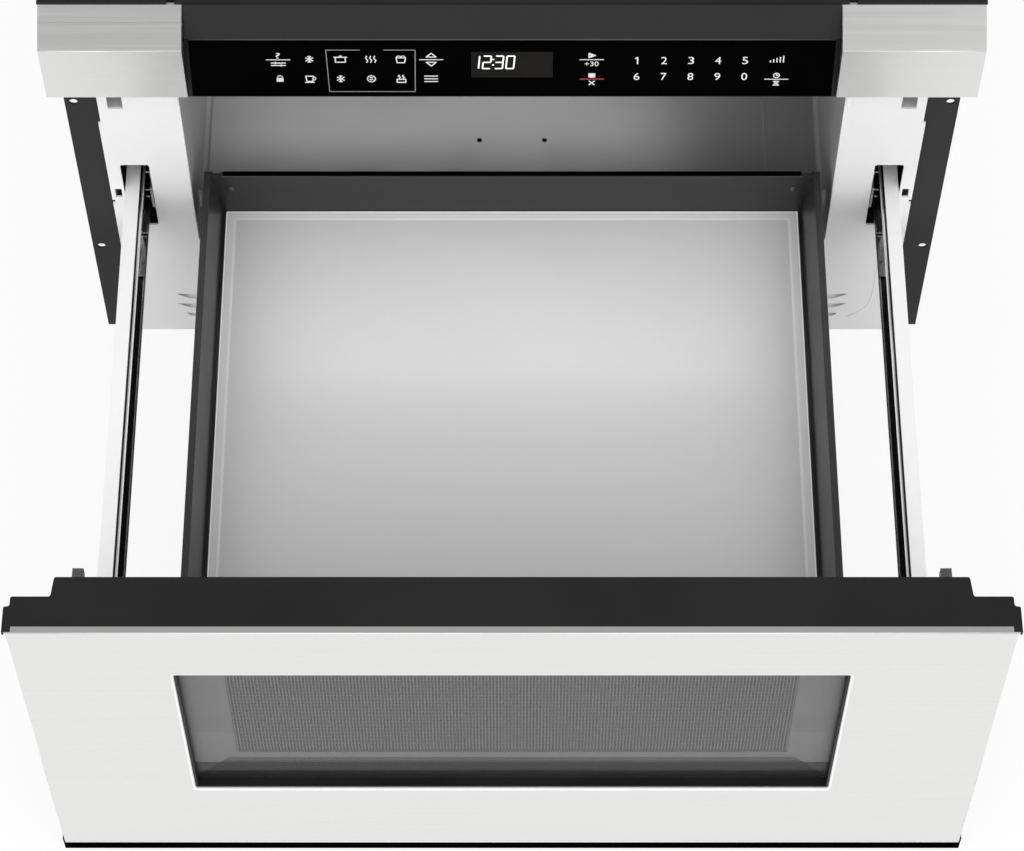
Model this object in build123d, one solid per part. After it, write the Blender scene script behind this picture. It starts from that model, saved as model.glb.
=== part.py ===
"""A built-in microwave drawer, shown with its drawer run out.

X runs to the right, Y to the rear and Z up. Drawing lengths in Y start at the front
of the control panel and the finished part is moved so that its origin is the middle
of its footprint, on the surface that it stands on. All sizes are millimetres.
"""
import os
from math import atan2, cos, pi, radians, sin, sqrt, tan

from build123d import *

# ---------------------------------------------------------------- overall sizes
body_inset = 26.2             # panel's side to the body; 554 mm wide for a 562 mm opening
body_top_gap = 2.4            # body's top below the trim's seal
closed_depth = 590.6          # door front to the rear with the drawer shut
plate_setback = 28.0          # front plate behind the front of the control panel
back_reach = 6.0              # grommet and louvres behind the back panel
sheet = 1.2                   # body sheet metal
plate_sheet = 1.5             # front plate, flanges and brackets
lip_depth = 16.0              # front plate's lower edge, turned under the base
lip_radius = 4.0
hem_width = 1.7               # front plate's folded side hems stand out past the body
hem_bottom = 30.0
hem_top = 264.6
hem_notch_bottom = 169.0
hem_notch_height = 4.0

# ---------------------------------------------------------------- cavity
cavity_side_gap = 54.6        # body's side to the cavity's inner face
cavity_floor = 120.0
cavity_top_gap = 56.0         # body's top to the cavity's ceiling
cavity_rear_gap = 123.6       # back panel to the cavity's rear face
cavity_corner = 4.0
cavity_sheet = 1.0
floor_hole_pitch = 47.2
floor_hole_setback = 88.5
floor_hole_radius = 1.8
port_radius = 62.0            # stirrer opening in the ceiling
port_setback = 205.0
lamp_setback = 330.0
lamp_level = 226.0
vent_setback = 270.0
wall_slot_length = 30.0
wall_slot_height = 3.2
wall_slot_pitch = 7.0
wall_slots = 3
low_slot_setback = 70.0       # short slot low in the left wall
low_slot_length = 8.0
low_slot_bottom = 125.0
low_slot_height = 5.0

# ---------------------------------------------------------------- door
door_travel = 377.5
door_thickness = 37.8
door_gap = 1.0                # shut door to front plate
door_bottom = 15.3
door_height = 313.0
skin_sheet = 1.0
skin_return = 4.6
skin_edge_radius = 1.2
skin_inset = 1.5              # skin's side behind the door frame's side
skin_notch = 3.8              # folded edges are notched at the corners
outer_step = 18.1             # door depth at its outer rim
outer_step_inset = 3.7
middle_step = 24.7            # door depth beside the choke
choke_inset = 27.5            # frame's side to the full-depth middle of the door
choke_draft = 1.5             # how far that middle narrows to the rear
step_radius = 1.5
window_border = 94.7          # skin's side to the window
window_bottom = 101.7
window_height = 170.6
window_return = 2.35
window_edge_radius = 0.5
glass_overlap = 3.0
bezel_width = 2.1
bezel_setback = 2.0           # bezel's front behind the skin's front
glass_recess = 7.5
glass_thickness = 3.5
mesh_inset = 29.8             # window's side to the screen's opening
mesh_bottom = 136.8
mesh_height = 112.0
mesh_margin = 5.0             # screen sheet past its window
mesh_sheet = 0.8
choke_border = 16.5           # frame material round the rear pocket
choke_wall = 23.0
choke_fit = 0.3
choke_cover_depth = 3.8
choke_cover_lap = 7.0
choke_tooth_pitch = 48.0
choke_tooth_slot = 3.0
choke_tooth_depth = 12.0
rear_window_thickness = 3.0
trim_height = 11.2
trim_depth = 30.0
trim_side_gap = 0.4
trim_setback = 0.3
trim_radius = 1.0

# ---------------------------------------------------------------- control panel
panel_half = 303.2
panel_overhang = 0.2          # panel past the door frame on each side
panel_gap = 3.9               # shut door to control panel
panel_face_height = 49.4
panel_slope_run = 26.0
panel_slope_rise = 14.8
wing_width = 92.0
wing_sheet = 1.2
wing_edge_radius = 1.2
wing_boss_radius = 5.0        # boss inside takes the fixing screw
wing_boss_inset = 60.0
wing_boss_rise = 24.0
boss_sides = 8
housing_wall = 1.5
housing_side_wall = 8.0
housing_lip = 0.7             # housing above the glass
housing_hollow_margin = 3.0
glass_tilt = 13.5             # degrees back from upright
touch_glass_gap = 3.4         # wing to the touch glass
touch_glass_height = 47.0
touch_glass_thickness = 3.0
touch_glass_rise = 0.6        # lower edge above the housing's lower edge
touch_glass_fit = 0.15
panel_front = 0.6             # housing's lower edge behind the wings' front
display_width = 52.8
display_height = 21.4
display_centre = 26.2         # up the glass from its lower edge
display_fit = 0.1
display_frame = 2.0
display_seat = 0.5
board_inset = 17.8
board_low = 8.0
board_high = 40.0
board_thickness = 1.6
board_standoff = 6.0
board_parts = ((-120.0, 30.0), (-70.0, 16.0), (90.0, 22.0), (140.0, 34.0))
board_part_low = 14.0
board_part_high = 30.0
board_part_depth = 3.0
top_trim_overhang = 0.6
top_trim_thickness = 2.0
top_trim_seal = 22.0
top_notch_inset = 85.0
top_notch_width = 5.3
top_notch_depth = 3.0

# ---------------------------------------------------------------- front plate cut-outs
slide_slot_inset = 7.6        # from the body's side
slide_slot_width = 20.0
slide_slot_bottom = 141.5
slide_slot_top = 215.3
slide_slot_radius = 2.0
side_notch_inset = 1.0
side_notch_width = 4.8
side_notch_bottom = 176.4
side_notch_height = 9.9
latch_slot_inset = 16.6
latch_slot_width = 10.2
latch_slot_drop = 47.6        # door's top to the slot's lower edge
latch_slot_height = 37.0
louvre_inner_inset = 87.0     # from the body's side
louvre_outer_inset = 31.5
louvre_taper_inset = 41.0     # outer end of each slot's lower edge
louvre_rows = ((51.5, 6.0, 31.5), (38.5, 5.5, 31.5), (25.7, 4.2, 37.0))
louvre_margin = 4.0
louvre_frame_sheet = 1.0
blade_run = 6.0
blade_rise = 1.0              # blade's rear edge above the slot
blade_thickness = 1.7

# ---------------------------------------------------------------- mounting flanges
flange_width = 22.2
flange_bottom = 6.6
flange_top_gap = 42.0         # body's top to the flange's top
flange_setback = 2.0          # flange face behind the front plate's face
flange_return = 28.0
screw_hole_radius = 2.9
screw_hole_inset = 16.1
screw_hole_low = 112.0
screw_hole_pitch = 174.0

# ---------------------------------------------------------------- tray
tray_side_gap = 8.2           # cavity wall to the tray
tray_rim = 189.3
tray_rim_width = 4.7
tray_bottom = 140.0
tray_wall_width = 10.0        # side wall's width beside the ceramic plate
tray_length = 387.2           # door to the inner face of the rear wall
tray_rear_wall = 4.0
tray_sheet = 1.2
ceramic_top = 146.5
ceramic_thickness = 4.0
ceramic_gap = 2.6
ceramic_rear_gap = 0.6
bead_inset = 5.6
bead_width = 1.6
bead_height = 0.3
rear_wall_overlap = 3.0       # rear wall's end inside the side wall
rear_wall_chamfer = 1.0
rear_corner_radius = 5.0
side_wall_overrun = 3.0       # side walls end behind the rear wall
side_wall_radius = 6.0
gusset_drop = 2.0
gusset_setback = 0.5

# ---------------------------------------------------------------- brackets and rack
bracket_inset = 8.7           # from the body's side
bracket_flange = 9.7          # width of the bracket's top
bracket_top = 187.3
bracket_bottom = 146.0
rack_room = 3.3               # between the bracket's web and the drawer member
gear_module = 2.0
pinion_teeth = 12
pressure_angle = 25.0         # degrees
gear_backlash = 0.25
gear_addendum = 0.9           # of the module, on the pinion
gear_dedendum = 1.25          # of the module
rack_tip = 149.6
rack_back = 5.0
rack_start = 15.5             # behind the door's rear face
rack_length = 414.0
pinion_setback = 34.0         # pinion axis behind the front plate's face
shaft_radius = 3.0
shaft_clearance = 0.05
side_clearance = 0.3

# ---------------------------------------------------------------- slides
member_sheet = 1.3
drawer_member_width = 7.8
drawer_member_height = 41.8
middle_member_width = 5.1
fixed_member_width = 5.9
slide_fit = 0.3               # between the webs of nested members and cages
ball_radius = 1.4
ball_gap = 0.3                # ball to race
ball_sides = 6
balls_in_row = 3
slide_length = 430.0
middle_length = 330.0
middle_reach = 12.0           # middle member in front of the plate with the drawer out
fixed_setback = 20.0
fixed_length = 454.0
cage_sheet = 0.5
cage_length = 96.0
cage_pitch = 36.0
cage_margin = 12.0
cage_tip_inset = 0.3
outer_cage_reach = 47.0       # outer cage in front of the plate with the drawer out
inner_cage_setback = 90.0
support_half = 12.0
support_foot = 7.0
support_setback = 6.0
support_length = 420.0

# ---------------------------------------------------------------- latches
hook_reach = 25.0
hook_width = 6.8
hook_drop = 36.1              # hook's top below the door's top
hook_height = 9.3
hook_nose = 7.0
hook_foot = 2.0
plunger_gap = 0.3             # shut hook to plunger
plunger_head_half = 4.0
plunger_head = 3.0
plunger_half = 2.0
plunger_clearance = 0.05
plunger_travel = 3.0
plunger_over_travel = 0.5
plunger_tail = 8.0
latch_wall = 1.6
switch_depth = 16.0
switch_half_height = 9.0
switch_blade_half = 2.4
switch_blade_sheet = 0.8
switch_blade_pitch = 6.0
switch_blade_length = 7.0
hook_neck = 2.6               # hook's nose above its shank
hook_chamfer = 3.0
hook_heel_run = 6.0
hook_heel_rise = 4.0
hook_foot_side = 2.0
hook_foot_below = 8.0
hook_foot_above = 12.0

# ---------------------------------------------------------------- cooking parts
stirrer_radius = 50.0
stirrer_blades = 4
stirrer_pitch = 28.0          # degrees
waveguide_width = 92.0
waveguide_height = 38.0
magnetron_width = 92.0
magnetron_depth = 78.0
magnetron_height = 78.0
magnetron_fins = 4
fan_radius = 52.0
fan_blades = 7
fan_depth = 24.0
fan_tip_gap = 3.0
transformer_width = 104.0
transformer_depth = 92.0
transformer_height = 86.0

# ---------------------------------------------------------------- derived places
body_half = panel_half - body_inset
plate_front = plate_setback
plate_rear = plate_front + plate_sheet
door_half = panel_half - panel_overhang
skin_half = door_half - skin_inset
outer_step_half = door_half - outer_step_inset
choke_half = door_half - choke_inset
door_shut_front = plate_front - door_gap - door_thickness
door_front = door_shut_front - door_travel
door_rear = door_front + door_thickness
door_top = door_bottom + door_height
window_half = skin_half - window_border
window_top = window_bottom + window_height
mesh_half = window_half - mesh_inset
hook_top = door_top - hook_drop
rearmost = door_shut_front + closed_depth
back_face = rearmost - back_reach
back_inner = back_face - sheet
base_top = plate_sheet + sheet
panel_bottom = door_top + panel_gap
panel_edge = panel_bottom + panel_face_height
panel_top = panel_edge + panel_slope_rise
wing_inner = panel_half - wing_width
touch_glass_half = wing_inner - touch_glass_gap
board_half = touch_glass_half - board_inset
top_trim_half = panel_half + top_trim_overhang
top_notch_position = panel_half - top_notch_inset
body_height = panel_top - top_trim_seal - body_top_gap
cavity_half = body_half - cavity_side_gap
cavity_ceiling = body_height - cavity_top_gap
cavity_depth = back_inner - cavity_rear_gap - plate_rear
cavity_back = plate_rear + cavity_depth
port_centre_y = plate_rear + port_setback
slide_slot_outer = body_half - slide_slot_inset
slide_slot_inner = slide_slot_outer - slide_slot_width
side_notch_outer = body_half - side_notch_inset
side_notch_inner = side_notch_outer - side_notch_width
latch_slot_inner = body_half - latch_slot_inset
latch_slot_bottom = door_top - latch_slot_drop
louvre_inner = body_half - louvre_inner_inset
louvre_outer = body_half - louvre_outer_inset
louvre_taper_end = body_half - louvre_taper_inset
flange_face = plate_front + flange_setback
flange_top = body_height - flange_top_gap
cabinet_face = flange_face + plate_sheet
tray_half = cavity_half - tray_side_gap
tray_foot_half = tray_half - tray_wall_width
tray_rear = door_rear + tray_length
bracket_outer = body_half - bracket_inset
bracket_inner = bracket_outer - bracket_flange
footprint_shift = -(door_front + rearmost) / 2
through = 1.0                 # how far a cut runs past the face that it opens

PARTS = {}


# ---------------------------------------------------------------- drawing helpers
def block(x0, x1, y0, y1, z0, z1):
    """A square-edged block between two corners."""
    return Pos((x0 + x1) / 2, (y0 + y1) / 2, (z0 + z1) / 2) * Box(x1 - x0, y1 - y0, z1 - z0)


def rect(x0, x1, z0, z1, radius=0.0):
    """A flat rectangle, with round corners where a radius is given."""
    place = Pos((x0 + x1) / 2, (z0 + z1) / 2)
    if radius:
        return place * RectangleRounded(x1 - x0, z1 - z0, radius)
    return place * Rectangle(x1 - x0, z1 - z0)


def outline(points):
    """A closed flat outline through points."""
    return make_face(Polyline(*points, close=True))


def cut_corner_rect(x0, x1, z0, z1, cut):
    """A flat rectangle with its four corners cut off."""
    return outline([(x0 + cut, z0), (x1 - cut, z0), (x1, z0 + cut), (x1, z1 - cut),
                    (x1 - cut, z1), (x0 + cut, z1), (x0, z1 - cut), (x0, z0 + cut)])


def facing_front(sketch, y0, depth):
    """A sketch drawn in X and Z, at Y = y0, given a depth to the rear."""
    plane = Plane(origin=(0, y0, 0), x_dir=(1, 0, 0), z_dir=(0, -1, 0))
    return extrude(plane * sketch, amount=depth, dir=(0, 1, 0))


def facing_side(sketch, x0, width):
    """A sketch drawn in Y and Z, at X = x0, given a width to the right."""
    plane = Plane(origin=(x0, 0, 0), x_dir=(0, 1, 0), z_dir=(1, 0, 0))
    return extrude(plane * sketch, amount=width, dir=(1, 0, 0))


def facing_up(sketch, z0, height):
    """A sketch drawn in X and Y, at Z = z0, given a height."""
    return extrude(Pos(0, 0, z0) * sketch, amount=height, dir=(0, 0, 1))


def rod(radius, start, end):
    """A round rod between two points on a line along one axis."""
    start, end = Vector(*start), Vector(*end)
    plane = Plane(origin=start, z_dir=(end - start).normalized())
    return extrude(plane * Circle(radius), amount=(end - start).length)


def prism(radius, sides, start, end):
    """A rod with flat sides between two points on a line along one axis."""
    start, end = Vector(*start), Vector(*end)
    plane = Plane(origin=start, z_dir=(end - start).normalized())
    return extrude(plane * RegularPolygon(radius, sides), amount=(end - start).length)


def at_side(shape, side):
    """The right-hand shape, or its mirror image for the left-hand side."""
    return shape if side > 0 else mirror(shape, about=Plane.YZ)


def keep(name, shape):
    """Put a finished sub-part in its final place under its name."""
    PARTS[name] = Pos(0, footprint_shift, 0) * shape


SIDES = (("left", -1), ("right", 1))
drum_sides = 16


# ---------------------------------------------------------------- sheet-metal body
def front_plate():
    lip_inner = lip_radius - plate_sheet
    hem_half = body_half + hem_width
    face = rect(-body_half, body_half, 2 * lip_radius, body_height)
    face += rect(-hem_half, hem_half, hem_bottom, hem_top)
    face -= rect(-cavity_half, cavity_half, cavity_floor, cavity_ceiling, cavity_corner)
    for _, side in SIDES:
        cuts = [
            rect(slide_slot_inner, slide_slot_outer, slide_slot_bottom, slide_slot_top,
                 slide_slot_radius),
            rect(side_notch_inner, side_notch_outer, side_notch_bottom,
                 side_notch_bottom + side_notch_height),
            rect(latch_slot_inner, latch_slot_inner + latch_slot_width, latch_slot_bottom,
                 latch_slot_bottom + latch_slot_height),
            rect(body_half, hem_half + through, hem_notch_bottom,
                 hem_notch_bottom + hem_notch_height),
        ]
        for top, height, inset in louvre_rows:
            cuts.append(outline([(louvre_inner, top), (body_half - inset, top),
                                 (louvre_taper_end, top - height), (louvre_inner, top - height)]))
        for cut in cuts:
            face -= cut if side > 0 else mirror(cut, about=Plane.YZ)
    plate = facing_front(face, plate_front, plate_sheet)
    # the lower edge is rolled under the base
    leg = rect(plate_front, plate_rear, 0, 2 * lip_radius)
    foot = rect(plate_front, plate_front + lip_depth, 0, plate_sheet)
    bend = leg + foot
    outer = bend.vertices().sort_by_distance((plate_front, 0, 0))[0]
    bend = fillet(outer, lip_radius)
    inner = bend.vertices().sort_by_distance((plate_rear, plate_sheet, 0))[0]
    bend = fillet(inner, lip_inner)
    return plate + facing_side(bend, -body_half, 2 * body_half)


def louvre_blades():
    """Sloping blades behind the front plate's louvre slots, one strip each side."""
    margin = louvre_margin
    low = louvre_rows[-1][0] - louvre_rows[-1][1]
    high = louvre_rows[0][0]
    strips = []
    for _, side in SIDES:
        frame = rect(louvre_inner - 2 * margin, louvre_outer + 2 * margin, low - margin,
                     high + margin)
        frame -= rect(louvre_inner - margin, louvre_outer + margin, low - margin / 2,
                      high + margin / 2)
        strip = facing_front(frame, plate_rear, louvre_frame_sheet)
        for top, height, _ in louvre_rows:
            foot = top - height
            crest = top + blade_rise
            blade = outline([(plate_rear, foot), (plate_rear + blade_run, crest),
                             (plate_rear + blade_run, crest - blade_thickness),
                             (plate_rear, foot - blade_thickness)])
            strip += facing_side(blade, louvre_inner - 1.5 * margin,
                                 louvre_outer - louvre_inner + 3 * margin)
        strips.append(at_side(strip, side))
    return Compound(strips)


side_vents = 7
side_vent_pitch = 12.0
side_vent_rear = 40.0
side_vent_width = 4.0
side_vent_bottom = 67.0
side_vent_height = 46.0
rib_rise = 0.7
rib_sink = 0.05               # how far a pressed rib reaches into its sheet
side_rib_margin = 80.0
side_rib_bottom = 255.0
side_rib_height = 14.0


def side_panel(side):
    panel = block(body_half - sheet, body_half, plate_rear, back_inner, plate_sheet,
                  body_height - sheet)
    panel -= block(body_half - sheet - through, body_half + through, plate_rear - through,
                   plate_front + lip_radius, 0, lip_radius)
    for column in range(side_vents):
        y = back_inner - side_vent_rear - side_vent_pitch * column
        panel -= block(body_half - sheet - through, body_half + through, y,
                       y + side_vent_width, side_vent_bottom, side_vent_bottom + side_vent_height)
    # a long pressed rib stiffens the sheet
    panel += block(body_half - rib_sink, body_half + rib_rise, plate_rear + side_rib_margin,
                   back_inner - side_rib_margin, side_rib_bottom,
                   side_rib_bottom + side_rib_height)
    return at_side(panel, side)


top_ribs = (-150.0, 0.0, 150.0)
top_rib_half = 8.0
top_rib_margin = 60.0


def top_cover():
    cover = block(-body_half, body_half, plate_rear, back_inner, body_height - sheet,
                  body_height)
    for x in top_ribs:
        cover += block(x - top_rib_half, x + top_rib_half, plate_rear + top_rib_margin,
                       back_inner - top_rib_margin, body_height - rib_sink,
                       body_height + rib_rise)
    return cover


base_edge_height = 16.0
skid_centre = 200.0
skid_half = 9.0
skid_front = 100.0
skid_rear_gap = 32.6
base_vent_columns = 8
base_vent_rows = 2
base_vent_pitch = 20.0
base_vent_row_pitch = 60.0
base_vent_start = 128.0
base_vent_length = 44.0
base_vent_width = 5.0


def base_pan():
    half = body_half - sheet
    front = plate_front + lip_radius
    pan = block(-half, half, front, back_inner, plate_sheet, base_top)
    for edge in (-half, half - sheet):
        pan += block(edge, edge + sheet, front, back_inner, plate_sheet,
                     plate_sheet + base_edge_height)
    # two pressed skids carry the rear
    for x in (-skid_centre, skid_centre):
        pan += block(x - skid_half, x + skid_half, skid_front,
                     back_inner - skid_rear_gap, 0, plate_sheet)
    # cooling air comes in through rows of slots
    for column in range(base_vent_columns):
        x = (column - (base_vent_columns - 1) / 2) * base_vent_pitch
        for row in range(base_vent_rows):
            y = base_vent_start + base_vent_row_pitch * row
            pan -= block(x - base_vent_width / 2, x + base_vent_width / 2, y,
                         y + base_vent_length, 0, base_top + through)
    return pan


fan_centre_x = -150.0
fan_centre_z = 230.0
inlet_x = 190.0
inlet_z = 60.0
inlet_radius = 11.0
inlet_bore = 5.0
inlet_fit = 0.1
grommet_flange = 3.0
grommet_radius = 14.0
grommet_sides = 12
screw_head_radius = 4.5
screw_head_height = 2.4
screw_shank_radius = 1.6
screw_shank_length = 6.0
screw_hole_fit = 0.35
screw_sides = 6
screw_edge = 9.0
screw_low = 30.0
screw_high_inset = 22.0
screw_top_half = 110.0
guard_radius = 50.0
guard_pitch = 13.0
guard_slot = 8.0
guard_bar = 3.0
exhaust_rows = 5
exhaust_pitch = 18.0
exhaust_bottom = 187.5
exhaust_slot = 6.0
exhaust_length = 56.0
exhaust_starts = (82.0, 152.0)


def back_screw_places():
    """Centres of the back panel's screws."""
    places = []
    high = body_height - screw_high_inset
    for x in (-body_half + screw_edge, body_half - screw_edge):
        for z in (screw_low, (screw_low + high) / 2, high):
            places.append((x, z))
    for x in (-screw_top_half, screw_top_half):
        places.append((x, body_height - screw_edge))
    return places


def back_panel():
    sketch = rect(-body_half, body_half, plate_sheet, body_height)
    sketch -= Pos(inlet_x, inlet_z) * Circle(inlet_radius + inlet_fit)
    # finger guard: slots across a round field in front of the fan
    guard_rows = int(2 * (guard_radius - guard_slot / 2) / guard_pitch) + 1
    for row in range(guard_rows):
        level = (row - (guard_rows - 1) / 2) * guard_pitch
        reach = abs(level) + guard_slot / 2
        half = sqrt(guard_radius ** 2 - reach ** 2)
        z = fan_centre_z + level
        for start in (-half, guard_bar / 2):
            sketch -= rect(fan_centre_x + start, fan_centre_x + start + half - guard_bar / 2,
                           z - guard_slot / 2, z + guard_slot / 2)
    # exhaust slots on the other side
    for row in range(exhaust_rows):
        z = exhaust_bottom + exhaust_pitch * row
        for x in exhaust_starts:
            sketch -= rect(x, x + exhaust_length, z, z + exhaust_slot)
    hole = RegularPolygon(screw_shank_radius + screw_hole_fit, screw_sides)
    for x, z in back_screw_places():
        sketch -= Pos(x, z) * hole
    return facing_front(sketch, back_inner, sheet)


def back_screws():
    screws = []
    for x, z in back_screw_places():
        head = prism(screw_head_radius, screw_sides, (x, back_face, z),
                     (x, back_face + screw_head_height, z))
        shank = prism(screw_shank_radius, screw_sides, (x, back_face - screw_shank_length, z),
                      (x, back_face, z))
        screws.append(head + shank)
    return Compound(screws)


def cord_grommet():
    """The empty cord entry: a bush with a groove that holds it in the back panel."""
    bush = prism(inlet_radius, grommet_sides, (inlet_x, back_inner, inlet_z),
                 (inlet_x, back_face, inlet_z))
    bush += prism(grommet_radius, grommet_sides, (inlet_x, back_inner - grommet_flange, inlet_z),
                  (inlet_x, back_inner, inlet_z))
    bush += prism(grommet_radius, grommet_sides, (inlet_x, back_face, inlet_z),
                  (inlet_x, rearmost, inlet_z))
    bush -= rod(inlet_bore, (inlet_x, back_inner - 2 * grommet_flange, inlet_z),
                (inlet_x, rearmost + through, inlet_z))
    return bush


def mounting_flange(side):
    face = rect(body_half, body_half + flange_width, flange_bottom, flange_top)
    for z in (screw_hole_low, screw_hole_low + screw_hole_pitch):
        face -= Pos(body_half + screw_hole_inset, z) * Circle(screw_hole_radius)
    face -= rect(body_half - through, body_half + hem_width, hem_notch_bottom,
                 hem_notch_bottom + hem_notch_height)
    flange = facing_front(face, flange_face, plate_sheet)
    flange += block(body_half, body_half + plate_sheet, flange_face,
                    cabinet_face + flange_return, flange_bottom, flange_top)
    return at_side(flange, side)


# ---------------------------------------------------------------- control panel
def panel_profile(inset, rear):
    """Side view of the control panel: upright face, then a slope up to the rear."""
    slope = atan2(panel_slope_rise, panel_slope_run)
    drop = inset / cos(slope)
    shoulder = panel_edge + inset * tan(slope) - drop
    return [(inset, panel_bottom + inset), (inset, shoulder),
            (panel_slope_run, panel_top - drop), (rear, panel_top - drop),
            (rear, panel_bottom + inset)]


def wing(side):
    outer = facing_side(outline(panel_profile(0, plate_front)), wing_inner, wing_width)
    front_top = outer.edges().filter_by(Axis.X).sort_by_distance((wing_inner, 0, panel_edge))[0]
    outer = fillet(front_top, wing_edge_radius)
    inner = facing_side(outline(panel_profile(wing_sheet, plate_front + through)),
                        wing_inner - through, wing_width + through - wing_sheet)
    shell = outer - inner
    boss_x = wing_inner + wing_boss_inset
    boss_z = panel_bottom + wing_boss_rise
    boss = prism(wing_boss_radius, boss_sides, (boss_x, wing_sheet / 2, boss_z),
                 (boss_x, plate_front, boss_z))
    return at_side(shell + boss, side)


def glass_point(rise, depth):
    """Y and Z of a point up the tilted glass and behind its face."""
    tilt = radians(glass_tilt)
    return (panel_front + rise * sin(tilt) + depth * cos(tilt),
            panel_bottom + rise * cos(tilt) - depth * sin(tilt))


def on_glass(sketch, depth, thickness):
    """A sketch drawn on the tilted glass, set in by depth and given a thickness."""
    tilt = radians(glass_tilt)
    plane = Plane(origin=(0, *glass_point(0, depth)), x_dir=(1, 0, 0),
                  z_dir=(0, -cos(tilt), sin(tilt)))
    return extrude(plane * sketch, amount=-thickness)


def control_housing():
    """Moulded carrier of the touch panel, hollow behind its front wall."""
    half = wing_inner
    rim = touch_glass_rise + touch_glass_height + housing_lip
    profile = [(panel_front, panel_bottom), glass_point(rim, 0), (panel_slope_run, panel_top),
               (plate_front, panel_top), (plate_front, panel_bottom)]
    housing = facing_side(outline(profile), -half, 2 * half)
    fit = touch_glass_fit
    pocket = rect(-touch_glass_half - fit, touch_glass_half + fit, touch_glass_rise - fit,
                  touch_glass_rise + touch_glass_height + fit)
    housing -= on_glass(pocket, 0, touch_glass_thickness)
    wall = touch_glass_thickness + housing_wall
    low = glass_point(housing_hollow_margin, wall)
    high = glass_point(touch_glass_height - housing_hollow_margin, wall)
    rear = plate_front + through
    hollow_half = half - housing_side_wall
    hollow = [low, high, (rear, high[1]), (rear, low[1])]
    housing -= facing_side(outline(hollow), -hollow_half, 2 * hollow_half)
    housing -= on_glass(display_outline(display_frame + fit),
                        touch_glass_thickness - display_seat, housing_wall + 2 * display_seat)
    return housing


def display_outline(gap=0.0):
    middle = touch_glass_rise + display_centre
    return rect(-display_width / 2 - gap, display_width / 2 + gap,
                middle - display_height / 2 - gap, middle + display_height / 2 + gap)


def control_glass():
    sketch = rect(-touch_glass_half, touch_glass_half, touch_glass_rise,
                  touch_glass_rise + touch_glass_height)
    sketch -= display_outline()
    return on_glass(sketch, 0, touch_glass_thickness)


def display_lens():
    return on_glass(display_outline(-display_fit), display_fit,
                    touch_glass_thickness - display_fit)


def control_board():
    board_depth = touch_glass_thickness + board_standoff
    board = on_glass(rect(-board_half, board_half, board_low, board_high), board_depth,
                     board_thickness)
    board += on_glass(display_outline(display_frame), touch_glass_thickness, board_standoff)
    for x, width in board_parts:
        chip = rect(x - width / 2, x + width / 2, board_part_low, board_part_high)
        board += on_glass(chip, board_depth + board_thickness, board_part_depth)
    return board


def top_trim():
    """Black trim that closes the line between the control panel and the cabinet."""
    plan = rect(-top_trim_half, top_trim_half, panel_slope_run, cabinet_face)
    for x in (-top_notch_position, top_notch_position):
        plan -= rect(x - top_notch_width / 2, x + top_notch_width / 2,
                     panel_slope_run - through, panel_slope_run + top_notch_depth)
    trim = facing_up(plan, panel_top, top_trim_thickness)
    trim += block(-top_trim_half, top_trim_half, plate_front, cabinet_face,
                  panel_top - top_trim_seal, panel_top)
    return trim


# ---------------------------------------------------------------- cavity and microwave parts
def wall_slots_at(setback, level):
    """Three short slots, one above the other, drawn in Y and Z."""
    y = plate_rear + setback
    slots = Sketch()
    for row in range(wall_slots):
        z = level + wall_slot_pitch * row
        slots += rect(y, y + wall_slot_length, z, z + wall_slot_height)
    return slots


def cavity_box():
    outer = cut_corner_rect(-cavity_half - cavity_sheet, cavity_half + cavity_sheet,
                            cavity_floor - cavity_sheet, cavity_ceiling + cavity_sheet,
                            cavity_corner)
    inner = cut_corner_rect(-cavity_half, cavity_half, cavity_floor, cavity_ceiling,
                            cavity_corner)
    box = facing_front(outer, plate_rear, cavity_depth + cavity_sheet)
    box -= facing_front(inner, plate_rear - through, cavity_depth + through)
    for x in (-floor_hole_pitch / 2, floor_hole_pitch / 2):
        y = plate_front + floor_hole_setback
        box -= rod(floor_hole_radius, (x, y, cavity_floor - 2 * through),
                   (x, y, cavity_floor + through))
    port = (0, port_centre_y, cavity_ceiling - through)
    box -= prism(port_radius, drum_sides, port,
                 (0, port_centre_y, cavity_ceiling + 2 * through))
    # lamp slots in the right wall, vent slots in the left wall
    cut_from = cavity_half - through
    cut_width = cavity_sheet + 2 * through
    box -= facing_side(wall_slots_at(lamp_setback, lamp_level), cut_from, cut_width)
    left = wall_slots_at(vent_setback, lamp_level)
    y = plate_rear + low_slot_setback
    left += rect(y, y + low_slot_length, low_slot_bottom, low_slot_bottom + low_slot_height)
    box -= at_side(facing_side(left, cut_from, cut_width), -1)
    return box


cover_lap = 9.0
cover_thickness = 2.2


def waveguide_cover():
    """The plate that closes the stirrer opening from inside the cavity."""
    return prism(port_radius + cover_lap, drum_sides,
                 (0, port_centre_y, cavity_ceiling - cover_thickness),
                 (0, port_centre_y, cavity_ceiling))


waveguide_bottom = cavity_ceiling + cavity_sheet
waveguide_top = waveguide_bottom + waveguide_height
waveguide_rear_gap = 26.0
waveguide_back = back_inner - waveguide_rear_gap
chamber_gap = 4.0
antenna_radius = 9.0
antenna_fit = 0.4
antenna_setback = 66.0
antenna_y = cavity_back + antenna_setback
stirrer_hole_radius = 3.6


def waveguide_plan(inset):
    """Round chamber over the stirrer opening, and the duct that leads to it."""
    chamber = Pos(0, port_centre_y) * RegularPolygon(port_radius + chamber_gap - inset,
                                                     drum_sides)
    duct = rect(-waveguide_width / 2 + inset, waveguide_width / 2 - inset, port_centre_y,
                waveguide_back - inset)
    return chamber + duct


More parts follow.
